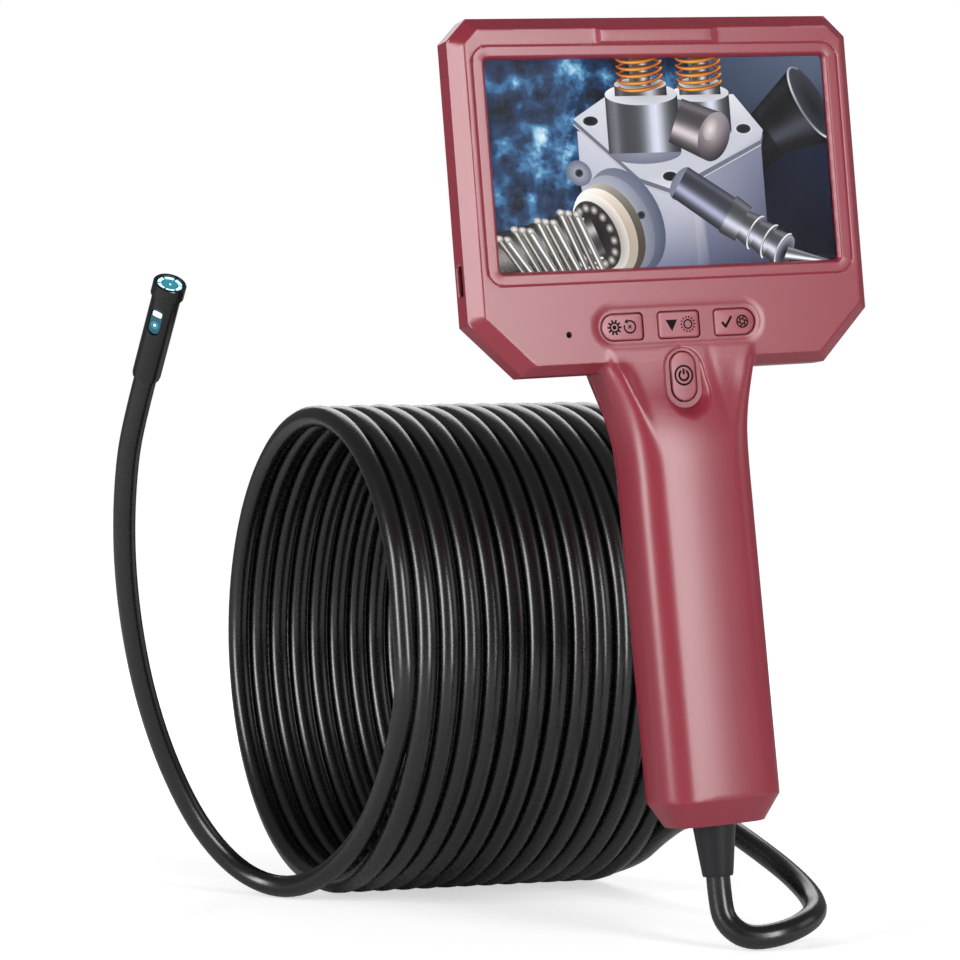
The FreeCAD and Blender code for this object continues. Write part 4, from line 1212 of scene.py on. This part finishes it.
    # a round cover with ears on the left, the bearing in it and the gear
    for ear in ((-27.5, -2.5), (-8.5, -15.5)):
        disc(ear, (4.2, 3.6), -35, (186, 190, 204), (112, 116, 136))
    disc((-13.5, -17), (11.5, 16.5), 24, (170, 174, 190), (104, 110, 132), glint=22)
    disc((-16, -18), (10.4, 15.4), 24, (206, 208, 218), (150, 154, 172), glint=26)
    for ear in ((-27.5, -2.5), (-8.5, -15.5)):
        disc(ear, (1.3, 1.2), 0, night, (70, 74, 90))
    disc((-18.5, -19.5), (9.8, 14.4), 24, (80, 70, 60), (150, 142, 132), glint=70)
    disc((-20.5, -20.2), (9.4, 13.8), 24, (220, 150, 110), (236, 230, 220), glint=50)
    disc((-22, -20.6), (8.0, 12.4), 24, (110, 84, 66), (252, 250, 244), glint=30)
    disc((-23.4, -21), (6.6, 10.8), 24, (22, 20, 22), (54, 50, 52))
    for ball in range(14):
        angle = 2 * pi * ball / 14
        bx, bz = 5.2 * cos(angle), 8.8 * sin(angle)
        place = (-23.8 + bx * 0.91 - bz * 0.41, -21.2 + bx * 0.41 + bz * 0.91)
        disc(place, (1.25, 1.5), 24, (240, 238, 234), (74, 66, 62), steps=12)
    rod((-23, -21), (-33, -25), 6.0, (150, 146, 146), 7.6)
    for ring in range(4):
        hoop((-24.5 - 2.4 * ring, -21.8 - 1.0 * ring), (3.2, 6.4 + 0.4 * ring), 0.9, 24,
             (226, 224, 222), 90, 270)
    rod((-31, -24), (-56, -31), 9.5, (112, 108, 108), 12.0)
    for tooth in range(11):
        x, z = -29.5 - 2.5 * tooth, -14.6 - 0.75 * tooth + 1.1 * (tooth % 3)
        shade = ((250, 248, 244), (170, 164, 158), (214, 208, 202))[tooth % 3]
        rod((x, z), (x + 7.5, z - 19.5), 1.3, shade, 1.0, bright=0.1)
        disc((x, z), (1.3, 1.0), -10, (255, 254, 250), (150, 146, 142), steps=12)
    view.finish("picture_machine", lit_picture())


def build_glass():
    """The cover glass, with a fine chamfer round its front."""
    outline = rounded_loop(GLASS_HALF, (0, SCREEN_MID), (3.0,) * 4, 1.5)
    levels = ((0.0, GLASS_BACK), (0.0, GLASS_FRONT + GLASS_BEVEL), (GLASS_BEVEL, GLASS_FRONT))
    pane = stepped_piece("cover_glass", outline, levels, "handset", GLASS)
    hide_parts("screen_glass")


# ---- CAD pieces that keep their shape

def dress_nodes():
    skins = (
        (STEEL, "housing_screws display_frame board_screws usb_c_socket card_socket microphone"),
        (STEEL, "clamp_screws"),
        (PANEL, "display_panel"),
        (BOARD, "main_board key_board led_board probe_board"),
        (RESIN, "board_chips tact_switches memory_card battery_plug camera_plug front_camera"),
        (RESIN, "side_camera menu_plunger down_plunger ok_plunger power_plunger"),
        (CELL_WRAP, "battery_cell"),
        (GREY, "battery_cradle cable_clamp"),
        (WIRE, "battery_wires"),
        (CABLE_BLACK, "signal_wire cable_tail"),
        (RUBBER, "strain_relief"),
        (PROBE_BLACK, "probe_ferrule probe_barrel probe_collar"),
        (GLASS, "front_window side_window"),
        (LED_AND_PAINTED_GLINT, "front_leds side_led"),
    )
    for skin, names in skins:
        for name in names.split():
            node = nodes[name]
            if not node.material_slots:
                node.data.materials.append(skin)
            for slot in node.material_slots:
                slot.material = skin


# ---- floor, lights, camera

def build_floor():
    """A pale sheet under the object, bright enough to run into the backdrop."""
    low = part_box("cord_coil")[0].z
    mesh = bpy.data.meshes.new("floor")
    reach = FLOOR_REACH
    mesh.from_pydata([(-reach, -reach, low), (reach, -reach, low), (reach, reach, low),
                      (-reach, reach, low)], [], [(0, 1, 2, 3)])
    made, shader, tree, link = principled(
        "pale_floor", Base_Color=(0.9, 0.9, 0.9, 1), Roughness=0.9, Specular_IOR_Level=0.1,
        Emission_Color=WHITE)
    place = tree.new("ShaderNodeNewGeometry")
    away = tree.new("ShaderNodeVectorMath")
    away.operation = "LENGTH"
    link(place.outputs["Position"], away.inputs[0])
    spread = map_range(tree, link, away.outputs["Value"], FLOOR_SPAN, (FLOOR_NEAR, FLOOR_FAR))
    path = tree.new("ShaderNodeLightPath")
    glow = tree.new("ShaderNodeMath")
    glow.operation = "MULTIPLY"
    link(spread, glow.inputs[0])
    link(path.outputs["Is Camera Ray"], glow.inputs[1])
    link(glow.outputs["Value"], shader.inputs["Emission Strength"])
    mesh.materials.append(made)
    floor = placed("floor", mesh)


def area_light(name, turn, rise, away, size, radiance):
    """A soft box facing the object; turn is its bearing, 0 in front and positive right."""
    flat = away * cos(radians(rise))
    offset = Vector((flat * sin(radians(turn)), -flat * cos(radians(turn)),
                     away * sin(radians(rise))))
    data = bpy.data.lights.new(name, "AREA")
    data.shape = "RECTANGLE"
    data.size, data.size_y = size
    data.energy = radiance * pi * size[0] * size[1]
    lamp = placed(name, data)
    lamp.location = Vector(AIM) + offset
    lamp.rotation_euler = (-offset).to_track_quat("-Z", "Y").to_euler()


def build_light():
    """White beyond the floor for the eye, and a dimmer room for what the object reflects."""
    world = bpy.data.worlds.new("studio")
    bpy.context.scene.world = world
    world.use_nodes = True
    tree, link = world.node_tree.nodes, world.node_tree.links.new
    room = tree["Background"]
    room.inputs["Color"].default_value = WHITE
    room.inputs["Strength"].default_value = ROOM
    backdrop = add_node(tree, "Background", Color=WHITE)
    path = tree.new("ShaderNodeLightPath")
    choice = tree.new("ShaderNodeMixShader")
    link(path.outputs["Is Camera Ray"], choice.inputs["Fac"])
    link(room.outputs["Background"], choice.inputs[1])
    link(backdrop.outputs["Background"], choice.inputs[2])
    link(choice.outputs["Shader"], tree["World Output"].inputs["Surface"])
    area_light("front_box", 13, 8, 1.3, (0.36, 1.2), 9.4)
    area_light("left_strip", -76, 4, 1.3, (0.38, 1.3), 9.5)
    area_light("right_fill", 70, 20, 1.6, (0.8, 0.8), 0.8)
    area_light("back_fill", 160, 30, 1.6, (1.0, 0.8), 2.2)


def build_camera():
    data = bpy.data.cameras.new("view")
    data.lens = CAMERA_LENS
    data.shift_y = HORIZON_DROP
    camera = placed("view", data)
    camera.location = CAMERA_AT
    camera.rotation_euler = (pi / 2, 0, CAMERA_TURN)
    bpy.context.scene.camera = camera
    bpy.context.scene.view_settings.view_transform = "Standard"


build_camera()
build_cable()
build_floor()
build_light()
build_front_shell()
build_rear_shell()
for key in ("menu", "down", "ok"):
    build_key(key, KEY_FRONT, KEY_BACK)
build_key("power", POWER_FRONT, KEY_BACK)
build_symbols(KEY_FRONT, POWER_FRONT)
build_screw_cross_shade()
build_glass()
build_picture()
dress_nodes()
